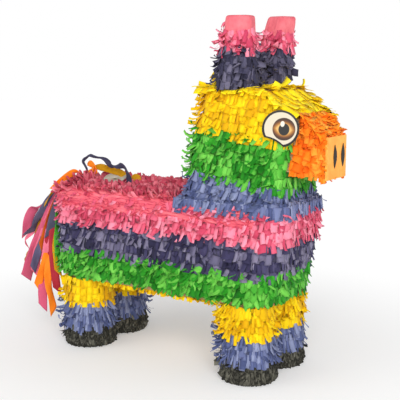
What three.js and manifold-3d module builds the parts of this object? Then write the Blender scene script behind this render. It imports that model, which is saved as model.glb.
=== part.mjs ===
// A donkey party pinata: a hollow cardboard carcass covered in rows of fringed crepe paper.
// Millimetres, +Z up, +X towards the nose. The feet stand on Z = 0, X = 0 is midway between the front
// and the rear legs while the pieces are made, and the whole is then moved along X so that the origin
// is the middle of its bounding box.

import * as THREE from 'three';
import { mergeVertices } from 'three/addons/utils/BufferGeometryUtils.js';
import Module from 'manifold-3d';

const wasm = await Module();
wasm.setup();

// Driving dimensions
const GAP = 0.3; // clearance left between pieces that touch
const CARD = 4; // corrugated cardboard
const THIN_CARD = 3;
const STICKER = 0.8;
const CORNER_STEPS = 5; // facets in each rounded corner

const REAR_X = -227.6; // outside of the fringe at the rump
const CHEST_X = 209; // outside of the fringe at the chest's lower edge
const CHEST_LEAN = 0.193; // how far the chest comes forward for each millimetre of height
const BODY_HALF_WIDTH = 86;
const BODY_CORNER = 46;
const BODY_FRINGE = 6.5; // depth of the fringe on the body

const GREEN_LOW_Z = 120; // lower edges of the colour bands on the body
const PURPLE_LOW_Z = 166;
const PINK_LOW_Z = 217;
const PINK_TOP_Z = 275;
const WALL_LOW_Z = 128.3;
const WALL_TOP_Z = 268;
const BACK_Z = WALL_TOP_Z + GAP; // underside of the back panel
const BACK_TOP_Z = BACK_Z + CARD;
const BACK_FRINGE_FRONT_X = 36; // the back's fringe stops before the neck
const BACK_FRINGE_Z = [BACK_TOP_Z + GAP, 280];
const BELLY_FRINGE_Z = [115, 123.7];

const FRONT_LEG_X = 160;
const REAR_LEG_X = -166;
const LEG_Y = 46;
const LEG_RADIUS = 33.5; // cardboard tube
const LEG_WALL = 3.5;
const LEG_FRINGE_RADIUS = 45.4;
const LEG_SIDES = 20;
const LEG_TOP_Z = 123.7;
const HOOF_DISC = 3;
const LEG_FRINGE_ROWS = [ // colour, lower and upper edge
  ['black', 1.5, 28],
  ['blue', 28.3, 69],
  ['yellow', 69.3, 119.6],
];

const NECK_TILT = THREE.MathUtils.degToRad(7.3);
const NECK_BACK_X = 40.8; // back of the neck's lowest fringe row
const NECK_BACK_Z = 281;
const NECK_LENGTH = 181; // back to front, outside of the fringe
const NECK_HALF_WIDTH = 70;
const NECK_CORNER = 28;
const NECK_FRINGE = 7;
const NECK_GREEN_H = 36.4; // heights along the neck's own leaning axis
const NECK_YELLOW_H = 110.4;
const NAPE_BEND_H = 60; // above this the nape leans in
const NAPE_LEAN = 0.14;

const CROWN_Z = 460; // top of the fringe between the ears
const BROW_X = 188; // where the crown turns down into the forehead
const FOREHEAD_SLOPE = 0.8;
const HEAD_FRINGE = 8;

const NOSE_X = 280; // the flat front of the muzzle
const NOSE_PANEL = 3.7;
const NOSE_HALF_WIDTH = 32.4;
const NOSE_Z = [321, 384];
const MUZZLE_Z = [326, 417.5]; // where the muzzle meets the head
const MUZZLE_HALF_WIDTH = [57, 44]; // lower and upper
const MUZZLE_FRINGE = 6;
const NOSTRIL_Z = [337, 372];

const EYE_RADIUS = 27;
const EYE_ANGLE = THREE.MathUtils.degToRad(66); // how far the eye is turned from straight ahead
const EYE_H = 137;
const EYE_LID = [214, 285]; // degrees of the rim that the straight lower lid cuts off

const EAR_X = [135, 149.5]; // foot and top
const EAR_Y = [48, 63];
const EAR_Z = [CROWN_Z - HEAD_FRINGE + GAP, 556];
const EAR_LENGTH = [60, 33];
const EAR_WIDTH = [31, 30];
const EAR_TURN = THREE.MathUtils.degToRad(15);
const EAR_CORNER = 6;
const EAR_PURPLE_Z = CROWN_Z + 1.5;
const EAR_PINK_Z = 504;
const EAR_CAP_Z = 529;
const EAR_CAP_TOP_Z = 560;

const FLAP_X = [-88, 8]; // fill opening in the back
const FLAP_HALF_WIDTH = 40;
const FLAP_CLEARANCE = 1.2;
const PATCH_X = [-216, -100]; // bare patch around the hanging loop
const PATCH_HALF_WIDTH = 34;
const LABEL_CENTRE = [-144, 12];
const LABEL_RADII = [23, 17];

const LOOP_RADIUS = 3;
const LOOP_HOLE_RADIUS = 4.5;
const LOOP_FEET_X = [-208, -110];
const LOOP_ROUTE = [
  [-208, 0, 275], [-209.5, -1, 283], [-213, -2, 296], [-214.5, -3, 308], [-210.5, -3, 317],
  [-201.5, -2, 322.5], [-190, -1, 323], [-178, 0, 321.8], [-169, 1, 319.5], [-161, 1, 315],
  [-154, 1, 310], [-146, 0, 307.5], [-136, -1, 308.5], [-127, -2, 309], [-120, -3, 305.5],
  [-115, -3, 298], [-112, -2, 289], [-110.5, -1, 281], [-110, 0, 275],
];

const TAIL_KNOT_X = [-226.2, -220];
const TAIL_KNOT_HALF_WIDTH = 12;
const TAIL_KNOT_Z = [BACK_FRINGE_Z[1] + GAP, 286.5];
const STREAMER_ROOT = [-227, 284];
const STREAMER_WIDTH = 15;
const STREAMER_SPREAD = 17; // distance between the middles of neighbouring streamers
const STREAMER_ROOT_SHARE = 0.3; // width and spread at the knot, as a share of the full ones
const STREAMER_OPENING = 110; // distance from the knot at which they are fully spread
const STREAMER_LANE_START = -48;
const STREAMER_THICKNESS = 1.2;
const STREAMERS = [ // name, colour, the X and Z that it passes through
  ['tail_streamer_pink_low', 'pink', [[-262, 258], [-284, 190], [-287, 110], [-290, 30]]],
  ['tail_streamer_pink_long', 'pink', [[-265, 262], [-334, 196], [-348, 130], [-355, 77]]],
  ['tail_streamer_pink_wide', 'pink', [[-270, 265], [-340, 218], [-355, 194], [-354, 165]]],
  ['tail_streamer_orange', 'orange', [[-268, 255], [-306, 190], [-304, 110], [-297, 27]]],
  ['tail_streamer_purple', 'purple', [[-275, 250], [-316, 190], [-345, 140], [-361, 95]]],
];

const MATERIALS = {
  cardboard: { color: 0xb58a5c, roughness: 0.9 },
  pink: { color: 0xe8578a, roughness: 0.85 },
  purple: { color: 0x504b7d, roughness: 0.85 },
  green: { color: 0x46aa3c, roughness: 0.85 },
  yellow: { color: 0xfad200, roughness: 0.85 },
  orange: { color: 0xff6e14, roughness: 0.85 },
  blue: { color: 0x6978be, roughness: 0.85 },
  black: { color: 0x32322f, roughness: 0.85 },
  eye: { color: 0xf2ece0, roughness: 0.45 },
  nostril: { color: 0x141414, roughness: 0.7 },
  label: { color: 0xb9b2a4, roughness: 0.6 },
};

const SIDES = [['right', -1], ['left', 1]];
const lerp = THREE.MathUtils.lerp;
const pinata = new THREE.Group();

function addPart(name, geometry, materialName) {
  const material = new THREE.MeshStandardMaterial({ metalness: 0, ...MATERIALS[materialName] });
  const mesh = new THREE.Mesh(geometry, material);
  mesh.name = name;
  pinata.add(mesh);
}

// Outlines seen from above, anticlockwise

function roundedRectangle(x0, x1, halfWidth, radius, steps = CORNER_STEPS) {
  const corners = [
    [x1 - radius, halfWidth - radius],
    [x0 + radius, halfWidth - radius],
    [x0 + radius, radius - halfWidth],
    [x1 - radius, radius - halfWidth],
  ];
  return corners.flatMap(([x, y], quarter) => Array.from({ length: steps + 1 }, (_, i) => {
    const angle = (quarter + i / steps) * Math.PI / 2;
    return new THREE.Vector2(x + radius * Math.cos(angle), y + radius * Math.sin(angle));
  }));
}

function ellipse(x, y, radiusX, radiusY, sides) {
  return Array.from({ length: sides }, (_, i) => {
    const angle = (i / sides) * 2 * Math.PI;
    return new THREE.Vector2(x + radiusX * Math.cos(angle), y + radiusY * Math.sin(angle));
  });
}

function rectangle(x0, x1, y0, y1) {
  return [[x0, y0], [x1, y0], [x1, y1], [x0, y1]].map(([x, y]) => new THREE.Vector2(x, y));
}

function atHeight(ring, z) {
  return ring.map((p) => new THREE.Vector3(p.x, p.y, z));
}

// Closed solids through rings of points. The rings run anticlockwise seen from the last one.

function meshFromFaces(points, faces) {
  const geometry = new THREE.BufferGeometry().setFromPoints(points);
  geometry.setIndex(faces);
  const flat = geometry.toNonIndexed();
  flat.computeVertexNormals();
  return flat;
}

function wallFaces(count, from, to) {
  const faces = [];
  for (let i = 0; i < count; i += 1) {
    const next = (i + 1) % count;
    faces.push(from + i, from + next, to + next, from + i, to + next, to + i);
  }
  return faces;
}

function capFaces(count, start, facesForward) {
  const faces = [];
  for (let i = 1; i < count - 1; i += 1) {
    faces.push(start, start + (facesForward ? i : i + 1), start + (facesForward ? i + 1 : i));
  }
  return faces;
}

function block(rings) {
  const count = rings[0].length;
  const faces = capFaces(count, 0, false);
  for (let i = 1; i < rings.length; i += 1) {
    faces.push(...wallFaces(count, (i - 1) * count, i * count));
  }
  faces.push(...capFaces(count, (rings.length - 1) * count, true));
  return meshFromFaces(rings.flat(), faces);
}

// An open-ended tube
function sleeve(outer, inner) {
  const rings = [...outer, ...[...inner].reverse()];
  const count = rings[0].length;
  const faces = rings.flatMap((_, i) => wallFaces(count, i * count, ((i + 1) % rings.length) * count));
  return meshFromFaces(rings.flat(), faces);
}

// A tube closed at its upper end, each of its two skins given as a lower and an upper ring
function cup(outer, inner) {
  const count = outer[0].length;
  const faces = [
    ...wallFaces(count, 0, count),
    ...capFaces(count, count, true),
    ...capFaces(count, 3 * count, false),
    ...wallFaces(count, 3 * count, 2 * count),
    ...wallFaces(count, 2 * count, 0),
  ];
  return meshFromFaces([...outer, ...inner].flat(), faces);
}

function plate(outline, holes, lowZ, topZ) {
  const shape = new THREE.Shape(outline);
  shape.holes = holes.map((points) => new THREE.Path([...points].reverse()));
  const geometry = new THREE.ExtrudeGeometry(shape, { depth: topZ - lowZ, bevelEnabled: false });
  return geometry.translate(0, 0, lowZ);
}

// Cuts and joins

function solidOf(geometry) {
  const bare = geometry.clone();
  bare.deleteAttribute('normal');
  bare.deleteAttribute('uv');
  const merged = mergeVertices(bare, 1e-4);
  return new wasm.Manifold(new wasm.Mesh({
    numProp: 3,
    vertProperties: new Float32Array(merged.attributes.position.array),
    triVerts: new Uint32Array(merged.index.array),
  }));
}

function geometryOf(solid) {
  const mesh = solid.getMesh();
  const geometry = new THREE.BufferGeometry();
  geometry.setAttribute('position', new THREE.BufferAttribute(mesh.vertProperties.slice(), 3));
  geometry.setIndex(new THREE.BufferAttribute(mesh.triVerts.slice(), 1));
  const flat = geometry.toNonIndexed();
  flat.computeVertexNormals();
  return flat;
}

// Body: a ring of card on a belly panel, wrapped in three bands of fringe

function chestX(z) {
  return CHEST_X + (z - GREEN_LOW_Z) * CHEST_LEAN;
}

function bodyRing(z, inset) {
  const outline = roundedRectangle(
    REAR_X + inset, chestX(z) - inset, BODY_HALF_WIDTH - inset, BODY_CORNER - inset);
  return atHeight(outline, z);
}

function bodySleeve(lowZ, topZ, outerInset, innerInset) {
  return sleeve(
    [bodyRing(lowZ, outerInset), bodyRing(topZ, outerInset)],
    [bodyRing(lowZ, innerInset), bodyRing(topZ, innerInset)],
  );
}

function addBody() {
  const wall = bodySleeve(WALL_LOW_Z, WALL_TOP_Z, BODY_FRINGE, BODY_FRINGE + CARD);
  addPart('body_wall', wall, 'cardboard');
  const bellyTopZ = WALL_LOW_Z - GAP;
  const belly = block([bodyRing(bellyTopZ - CARD, BODY_FRINGE), bodyRing(bellyTopZ, BODY_FRINGE)]);
  addPart('belly_panel', belly, 'cardboard');

  const bands = [
    ['green', GREEN_LOW_Z, PURPLE_LOW_Z - GAP],
    ['purple', PURPLE_LOW_Z, PINK_LOW_Z - GAP],
    ['pink', PINK_LOW_Z, PINK_TOP_Z],
  ];
  for (const [colour, lowZ, topZ] of bands) {
    addPart(`fringe_body_${colour}`, bodySleeve(lowZ, topZ, 0, BODY_FRINGE - GAP), colour);
  }
  const bellyX = [REAR_LEG_X + LEG_FRINGE_RADIUS + 1, FRONT_LEG_X - LEG_FRINGE_RADIUS - 1];
  const bellyFringe = roundedRectangle(...bellyX, BODY_HALF_WIDTH - BODY_FRINGE, 4, 2);
  addPart('fringe_belly_yellow', plate(bellyFringe, [], ...BELLY_FRINGE_Z), 'yellow');
}

// Back: panel with the fill opening, its flap, and the bare patch around the hanging loop

function addBack() {
  const loopHoles = LOOP_FEET_X.map((x) => ellipse(x, 0, LOOP_HOLE_RADIUS, LOOP_HOLE_RADIUS, 12));
  const panel = roundedRectangle(REAR_X + BODY_FRINGE, chestX(BACK_Z) - BODY_FRINGE,
    BODY_HALF_WIDTH - BODY_FRINGE, BODY_CORNER - BODY_FRINGE);
  const opening = rectangle(...FLAP_X, -FLAP_HALF_WIDTH, FLAP_HALF_WIDTH);
  addPart('back_panel', plate(panel, [opening, ...loopHoles], BACK_Z, BACK_TOP_Z), 'cardboard');

  const anchor = rectangle(PATCH_X[0] + 2, PATCH_X[1] - 2, 5 - PATCH_HALF_WIDTH, PATCH_HALF_WIDTH - 5);
  addPart('loop_anchor_plate', plate(anchor, loopHoles, WALL_TOP_Z - CARD, WALL_TOP_Z), 'cardboard');

  const margin = BODY_FRINGE + 1;
  const round = roundedRectangle(REAR_X + margin, BACK_FRINGE_FRONT_X,
    BODY_HALF_WIDTH - margin, BODY_CORNER - margin);
  const rear = round.slice(CORNER_STEPS + 1, 3 * (CORNER_STEPS + 1));
  const front = [1, -1].map((side) => new THREE.Vector2(BACK_FRINGE_FRONT_X, side * rear[0].y));
  const patch = rectangle(...PATCH_X, -PATCH_HALF_WIDTH, PATCH_HALF_WIDTH);
  const swing = rectangle(FLAP_X[0] - 1, FLAP_X[1] + 1, -FLAP_HALF_WIDTH - 1, FLAP_HALF_WIDTH + 12);
  const fringe = plate([front[0], ...rear, front[1]], [patch, swing], ...BACK_FRINGE_Z);
  addPart('fringe_back_pink', fringe, 'pink');

  const flapSide = FLAP_HALF_WIDTH - FLAP_CLEARANCE;
  const flapEnds = [FLAP_X[0] + FLAP_CLEARANCE, FLAP_X[1] - FLAP_CLEARANCE];
  const flap = rectangle(...flapEnds, -flapSide, flapSide);
  addPart('fill_flap', plate(flap, [], BACK_Z, BACK_TOP_Z), 'cardboard');
  const flapFringe = rectangle(...flapEnds, -flapSide, flapSide - 5);
  addPart('fringe_flap_pink', plate(flapFringe, [], ...BACK_FRINGE_Z), 'pink');

  const labelZ = BACK_TOP_Z + GAP;
  const label = ellipse(...LABEL_CENTRE, ...LABEL_RADII, 24);
  addPart('back_label', plate(label, [], labelZ, labelZ + STICKER), 'label');
}

// Hanging loop: a twisted paper cord, and its tied run under the anchor plate

function cordTube(points, steps) {
  const section = new THREE.Shape(ellipse(0, 0, LOOP_RADIUS, LOOP_RADIUS, 9));
  const curve = new THREE.CatmullRomCurve3(points.map((p) => new THREE.Vector3(...p)));
  return new THREE.ExtrudeGeometry(section, { steps, bevelEnabled: false, extrudePath: curve });
}

function addLoop() {
  addPart('hanging_loop', cordTube(LOOP_ROUTE, 24), 'purple');
  const [rearX, frontX] = LOOP_FEET_X;
  const lowZ = WALL_TOP_Z - CARD - LOOP_RADIUS - 3;
  addPart('loop_tied_run', cordTube([
    [rearX, 0, BACK_TOP_Z], [rearX, 0, WALL_TOP_Z - CARD], [rearX + 8, 0, lowZ],
    [(rearX + frontX) / 2, 0, lowZ], [frontX - 8, 0, lowZ],
    [frontX, 0, WALL_TOP_Z - CARD], [frontX, 0, BACK_TOP_Z],
  ], 22), 'purple');
}

// Legs: card tubes closed by a disc at the hoof, with three rows of fringe

function legRings(x, y, radius, zs) {
  return zs.map((z) => atHeight(ellipse(x, y, radius, radius, LEG_SIDES), z));
}

function addLeg(name, x, y) {
  const tubeZ = [HOOF_DISC + GAP, LEG_TOP_Z];
  const tube = sleeve(legRings(x, y, LEG_RADIUS, tubeZ), legRings(x, y, LEG_RADIUS - LEG_WALL, tubeZ));
  addPart(`leg_tube_${name}`, tube, 'cardboard');
  addPart(`hoof_disc_${name}`, block(legRings(x, y, LEG_RADIUS, [0, HOOF_DISC])), 'cardboard');
  for (const [colour, ...zs] of LEG_FRINGE_ROWS) {
    const row = sleeve(legRings(x, y, LEG_FRINGE_RADIUS, zs), legRings(x, y, LEG_RADIUS + GAP, zs));
    addPart(`fringe_leg_${colour}_${name}`, row, colour);
  }
}

function addLegs() {
  for (const [side, sign] of SIDES) {
    addLeg(`front_${side}`, FRONT_LEG_X, sign * LEG_Y);
    addLeg(`rear_${side}`, REAR_LEG_X, sign * LEG_Y);
  }
}

// Neck and head: one leaning column, cut off by the crown and the forehead

// A point of the column from its own length, width and height along the lean
function neckPoint(length, y, h) {
  const cos = Math.cos(NECK_TILT);
  const sin = Math.sin(NECK_TILT);
  return new THREE.Vector3(NECK_BACK_X + length * cos + h * sin, y, NECK_BACK_Z - length * sin + h * cos);
}

function neckRing(h, inset) {
  const nape = Math.max(0, (h - NAPE_BEND_H) * NAPE_LEAN);
  const outline = roundedRectangle(
    nape + inset, NECK_LENGTH - inset, NECK_HALF_WIDTH - inset, NECK_CORNER - inset);
  return outline.map((p) => neckPoint(p.x, p.y, h));
}

function column(inset, lowH = -60, topH = 260) {
  const heights = [lowH, NAPE_BEND_H, topH].filter((h) => h >= lowH && h <= topH);
  return solidOf(block([...new Set(heights)].map((h) => neckRing(h, inset))));
}

// Everything between a floor and the crown and forehead lines, lowered by a depth of fringe or card
function underRoof(floorZ, depth) {
  const farX = 400;
  const crown = CROWN_Z - depth;
  const browX = BROW_X + depth * (1 - Math.hypot(1, FOREHEAD_SLOPE)) / FOREHEAD_SLOPE;
  const profile = new THREE.Shape([
    new THREE.Vector2(0, floorZ),
    new THREE.Vector2(farX, floorZ),
    new THREE.Vector2(farX, crown - (farX - browX) * FOREHEAD_SLOPE),
    new THREE.Vector2(browX, crown),
    new THREE.Vector2(0, crown),
  ]);
  const halfWidth = 120;
  const slab = new THREE.ExtrudeGeometry(profile, { depth: 2 * halfWidth, bevelEnabled: false });
  slab.translate(0, 0, -halfWidth);
  slab.rotateX(Math.PI / 2);
  return solidOf(slab);
}

// X of the column's front at a height
function faceX(z) {
  const foot = neckPoint(NECK_LENGTH, 0, 0);
  return foot.x + (z - foot.z) * Math.tan(NECK_TILT);
}

// The muzzle's four sloping sides from inside the column to a plane across X
function muzzleBlock(inset, frontX) {
  const slopeInset = inset * Math.hypot(1, FOREHEAD_SLOPE);
  const rings = [[], [], []];
  for (const [side, top] of [[-1, 0], [1, 0], [1, 1], [-1, 1]]) {
    const raise = top ? -slopeInset : inset;
    const halfWidth = MUZZLE_HALF_WIDTH[top] - inset;
    const z = MUZZLE_Z[top] + raise;
    const rootX = faceX(MUZZLE_Z[top]);
    const share = (frontX - rootX) / (NOSE_X - rootX);
    const noseWidth = lerp(halfWidth, NOSE_HALF_WIDTH - inset, share);
    rings[0].push(new THREE.Vector3(rootX - 30, side * halfWidth, z));
    rings[1].push(new THREE.Vector3(rootX, side * halfWidth, z));
    rings[2].push(new THREE.Vector3(frontX, side * noseWidth, lerp(z, NOSE_Z[top] + raise, share)));
  }
  return solidOf(block(rings));
}

function earRing(side, z, grow) {
  const share = (z - EAR_Z[0]) / (EAR_Z[1] - EAR_Z[0]);
  const halfLength = lerp(...EAR_LENGTH, share) / 2 + grow;
  const halfWidth = lerp(...EAR_WIDTH, share) / 2 + grow;
  const outline = roundedRectangle(-halfLength, halfLength, halfWidth, EAR_CORNER + Math.max(0, grow), 3);
  const centre = new THREE.Vector2(lerp(...EAR_X, share), side * lerp(...EAR_Y, share));
  return atHeight(outline.map((p) => p.rotateAround(new THREE.Vector2(), -side * EAR_TURN).add(centre)), z);
}

function addHead() {
  const standZ = BACK_TOP_Z + GAP;
  const roofDepth = HEAD_FRINGE + CARD;
  const carcass = column(NECK_FRINGE);
  const wall = carcass
    .subtract(column(NECK_FRINGE + THIN_CARD))
    .intersect(underRoof(standZ, roofDepth + GAP));
  addPart('neck_wall', geometryOf(wall), 'cardboard');
  const roof = carcass.intersect(underRoof(standZ, HEAD_FRINGE)).subtract(underRoof(0, roofDepth));
  addPart('head_roof', geometryOf(roof), 'cardboard');

  const muzzleHole = muzzleBlock(MUZZLE_FRINGE - GAP, NOSE_X);
  const skin = column(0).subtract(column(NECK_FRINGE - GAP)).subtract(muzzleHole);
  const bands = [
    ['blue', -60, NECK_GREEN_H - GAP],
    ['green', NECK_GREEN_H, NECK_YELLOW_H - GAP],
  ];
  for (const [colour, lowH, topH] of bands) {
    const band = skin.intersect(underRoof(standZ, 0)).intersect(column(-5, lowH, topH));
    addPart(`fringe_neck_${colour}`, geometryOf(band), colour);
  }

  const inside = column(NECK_FRINGE - GAP).intersect(underRoof(0, HEAD_FRINGE - GAP));
  let hood = column(0, NECK_YELLOW_H).intersect(underRoof(standZ, 0)).subtract(inside).subtract(muzzleHole);
  for (const [, sign] of SIDES) {
    const foot = [EAR_Z[0] - 5, CROWN_Z + 5].map((z) => earRing(sign, z, GAP));
    hood = hood.subtract(solidOf(block(foot)));
  }
  addPart('fringe_head_yellow', geometryOf(hood), 'yellow');
}

function addMuzzle() {
  const panelX = NOSE_X - NOSE_PANEL;
  const frontX = panelX - GAP;
  const beyondX = frontX + 2;
  const wall = muzzleBlock(MUZZLE_FRINGE, frontX)
    .subtract(muzzleBlock(MUZZLE_FRINGE + THIN_CARD, beyondX))
    .subtract(column(NECK_FRINGE - GAP));
  addPart('muzzle_wall', geometryOf(wall), 'cardboard');
  const fringe = muzzleBlock(0, frontX)
    .subtract(muzzleBlock(MUZZLE_FRINGE - 2 * GAP, beyondX))
    .subtract(column(-GAP));
  addPart('fringe_muzzle_orange', geometryOf(fringe), 'orange');

  const outline = rectangle(-NOSE_HALF_WIDTH, NOSE_HALF_WIDTH, ...NOSE_Z);
  const facing = (points, x) => points.map((p) => new THREE.Vector3(x, p.x, p.y));
  addPart('nose_panel', block([facing(outline, panelX), facing(outline, NOSE_X)]), 'orange');

  // Each nostril is a leaf with one edge flatter than the other: name, middle, and both bulges
  const nostrils = [
    ['right', -9, 3.5, 7],
    ['left', 20, 6, 5],
  ];
  const steps = 8;
  for (const [side, middle, nearBulge, farBulge] of nostrils) {
    const leaf = [];
    for (let i = 0; i < 2 * steps; i += 1) {
      const rise = i < steps ? i / steps : 2 - i / steps;
      const bulge = i < steps ? farBulge : -nearBulge;
      leaf.push(new THREE.Vector2(middle + bulge * Math.sin(Math.PI * rise), lerp(...NOSTRIL_Z, rise)));
    }
    const backX = NOSE_X + GAP;
    addPart(`nostril_${side}`, block([facing(leaf, backX), facing(leaf, backX + STICKER)]), 'nostril');
  }
}

// Eyes: round card stickers with a straight lower lid, flat against the head's front corners

function addEyes() {
  const reach = NECK_CORNER + GAP;
  const steps = 24;
  for (const [name, sign] of SIDES) {
    const outline = Array.from({ length: steps + 1 }, (_, i) => {
      const angle = THREE.MathUtils.degToRad(lerp(EYE_LID[1], EYE_LID[0] + 360, i / steps));
      return new THREE.Vector2(EYE_RADIUS * Math.cos(angle), EYE_RADIUS * Math.sin(angle));
    });
    if (sign > 0) outline.reverse();
    const layers = [reach, reach + STICKER].map((distance) => outline.map((p) => neckPoint(
      NECK_LENGTH - NECK_CORNER + distance * Math.cos(EYE_ANGLE) + p.x * Math.sin(EYE_ANGLE),
      sign * (NECK_HALF_WIDTH - NECK_CORNER + distance * Math.sin(EYE_ANGLE) - p.x * Math.cos(EYE_ANGLE)),
      EYE_H + p.y,
    )));
    addPart(`eye_${name}`, block(layers), 'eye');
  }
}

// Ears: tapering card tubes with a plain paper cap and two rows of fringe

function addEars() {
  for (const [name, sign] of SIDES) {
    const rings = (zs, grow) => zs.map((z) => earRing(sign, z, grow));
    addPart(`ear_tube_${name}`, sleeve(rings(EAR_Z, 0), rings(EAR_Z, -THIN_CARD)), 'cardboard');
    const cap = cup(rings([EAR_CAP_Z, EAR_CAP_TOP_Z], 2), rings([EAR_CAP_Z, EAR_Z[1] + 0.6], GAP));
    addPart(`ear_cap_${name}`, cap, 'pink');
    const pinkZ = [EAR_PINK_Z, EAR_CAP_Z - GAP];
    addPart(`fringe_ear_pink_${name}`, sleeve(rings(pinkZ, 5), rings(pinkZ, GAP)), 'pink');
    const purpleZ = [EAR_PURPLE_Z, EAR_PINK_Z - GAP];
    addPart(`fringe_ear_purple_${name}`, sleeve(rings(purpleZ, 7), rings(purpleZ, GAP)), 'purple');
  }
}

// Tail: crepe streamers gathered in a knot at the top of the rump, opening out like a fan

function streamerRings(rank, route) {
  const points = [STREAMER_ROOT, ...route].map(([x, z]) => new THREE.Vector3(x, 0, z));
  const curve = new THREE.CatmullRomCurve3(points);
  const steps = 14;
  return Array.from({ length: steps + 1 }, (_, i) => {
    const point = curve.getPoint(i / steps);
    const tangent = curve.getTangent(i / steps);
    const opening = Math.min(1, point.distanceTo(points[0]) / STREAMER_OPENING);
    const share = lerp(STREAMER_ROOT_SHARE, 1, opening);
    const y = share * (STREAMER_LANE_START + rank * STREAMER_SPREAD);
    const half = share * STREAMER_WIDTH / 2;
    const thick = new THREE.Vector3(tangent.z, 0, -tangent.x).multiplyScalar(STREAMER_THICKNESS / 2);
    return [[1, -1], [1, 1], [-1, 1], [-1, -1]].map(([face, edge]) => new THREE.Vector3(
      point.x + face * thick.x, y + edge * half, point.z + face * thick.z));
  });
}

function addTail() {
  const knot = roundedRectangle(...TAIL_KNOT_X, TAIL_KNOT_HALF_WIDTH, 2.5, 3);
  addPart('tail_knot', plate(knot, [], ...TAIL_KNOT_Z), 'orange');
  STREAMERS.forEach(([name, colour, route], rank) => {
    addPart(name, block(streamerRings(rank, route)), colour);
  });
}

addBody();
addBack();
addLoop();
addLegs();
addHead();
addMuzzle();
addEyes();
addEars();
addTail();

const box = new THREE.Box3().setFromObject(pinata);
pinata.position.x = -(box.min.x + box.max.x) / 2;

export default pinata;
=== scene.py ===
"""Looks of a fringed donkey pinata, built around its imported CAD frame. Lengths here are millimetres."""

import math

import bpy
import numpy as np
from mathutils import Matrix, Vector


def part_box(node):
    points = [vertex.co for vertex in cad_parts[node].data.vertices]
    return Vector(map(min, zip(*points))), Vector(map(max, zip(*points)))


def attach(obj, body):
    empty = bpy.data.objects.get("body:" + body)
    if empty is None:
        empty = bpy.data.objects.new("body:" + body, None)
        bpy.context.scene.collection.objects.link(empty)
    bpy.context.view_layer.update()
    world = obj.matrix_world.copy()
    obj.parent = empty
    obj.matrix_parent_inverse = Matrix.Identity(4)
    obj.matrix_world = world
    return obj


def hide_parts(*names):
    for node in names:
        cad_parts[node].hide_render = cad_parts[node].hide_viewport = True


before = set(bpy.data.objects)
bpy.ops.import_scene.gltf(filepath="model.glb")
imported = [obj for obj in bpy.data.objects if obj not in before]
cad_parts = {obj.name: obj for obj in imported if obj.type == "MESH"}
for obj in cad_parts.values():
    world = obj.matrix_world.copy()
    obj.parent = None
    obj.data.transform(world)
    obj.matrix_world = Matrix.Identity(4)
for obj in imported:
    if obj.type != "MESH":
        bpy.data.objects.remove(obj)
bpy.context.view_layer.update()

MM = 0.001
UP = np.array([0.0, 0.0, 1.0])

# Sizes that the frame's boxes don't give
BODY_CORNER = 46.0
BODY_DEPTH = 6.5  # fringe depth over the card
CHEST_ROUND_Z = 258.0
NECK_TILT = math.radians(7.3)
NOSE_X = 280.0  # the front of the nose, in the X that the sizes below use
NECK_FOOT = (40.8, 281.0)  # back of the neck's lowest row
NECK_LENGTH = 181.0
NECK_CORNER = 28.0
NECK_DEPTH = 7.0
NAPE_BEND = 76.0
NAPE_LEAN = 0.16
BROW_X = 188.0
FOREHEAD_SLOPE = 0.8
EYE_ANGLE = math.radians(66)
EYE_HEIGHT = 138.0
EYE_RADIUS = 27.0
EAR_TURN = math.radians(15)
EAR_FOOT = (135.0, 48.0)  # X and Y of the middle of an ear's foot
EAR_TIP = (149.5, 63.0)
EAR_LENGTHS = (60.0, 33.0)  # at the foot and at the tip
EAR_WIDTHS = (31.0, 30.0)
EAR_CORNER = 8.0
MUZZLE_HALVES = (57.0, 44.0)  # half its width at the head, at the lower and at the upper edge
MUZZLE_SLOPE = 0.83
TAB_THICKNESS = 0.28
GLUED_THICKNESS = 0.5
LOOSE_WILD = 0.45  # share of the loose tabs that curl
TABS_PER_PIECE = 500
PRESSED_FROM = 98.0  # tabs that stand out beyond this at the sides are pressed back


def box(node):
    low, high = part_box(node)
    return np.array(low) / MM, np.array(high) / MM


def unit(v):
    return v / np.maximum(np.linalg.norm(v, axis=-1, keepdims=True), 1e-9)


# Places read from the frame
LEG_NAMES = [f"{end}_{side}" for end in ("front", "rear") for side in ("right", "left")]
leg_boxes = {name: box(f"fringe_leg_yellow_{name}") for name in LEG_NAMES}
pink_low, pink_high = box("fringe_body_pink")
green_low, green_high = box("fringe_body_green")
purple_low = box("fringe_body_purple")[0]
BODY_REAR = green_low[0]
BODY_HALF = green_high[1]
CHEST_LEAN = (pink_high[0] - green_high[0]) / (pink_high[2] - green_high[2])
neck_high = box("fringe_neck_blue")[1]
CROWN_Z = box("fringe_head_yellow")[1][2]
nose_low, nose_high = box("nose_panel")
ORIGIN = nose_high[0] - NOSE_X
BROW = ORIGIN + BROW_X
back_low, back_high = box("fringe_back_pink")
flap_low, flap_high = box("fill_flap")
label_low, label_high = box("back_label")


# Materials

def linear(rgb):
    c = np.array(rgb) / 255.0
    return tuple(np.where(c <= 0.04045, c / 12.92, ((c + 0.055) / 1.055) ** 2.4)) + (1.0,)


def new_material(name):
    material = bpy.data.materials.new(name)
    material.use_nodes = True
    return material, material.node_tree, material.node_tree.nodes["Principled BSDF"]


def feed(tree, node, values):
    """Set a node's inputs to numbers, or join them to other nodes' outputs."""
    for key, value in values.items():
        if isinstance(value, bpy.types.NodeSocket):
            tree.links.new(value, node.inputs[key])
        else:
            node.inputs[key].default_value = value


def add_node(tree, kind, values=None, **settings):
    node = tree.nodes.new(f"ShaderNode{kind}")
    for name, setting in settings.items():
        setattr(node, name, setting)
    feed(tree, node, values or {})
    return node


def calculate(tree, operation, *values):
    return add_node(tree, "Math", dict(enumerate(values)), operation=operation).outputs[0]


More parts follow.
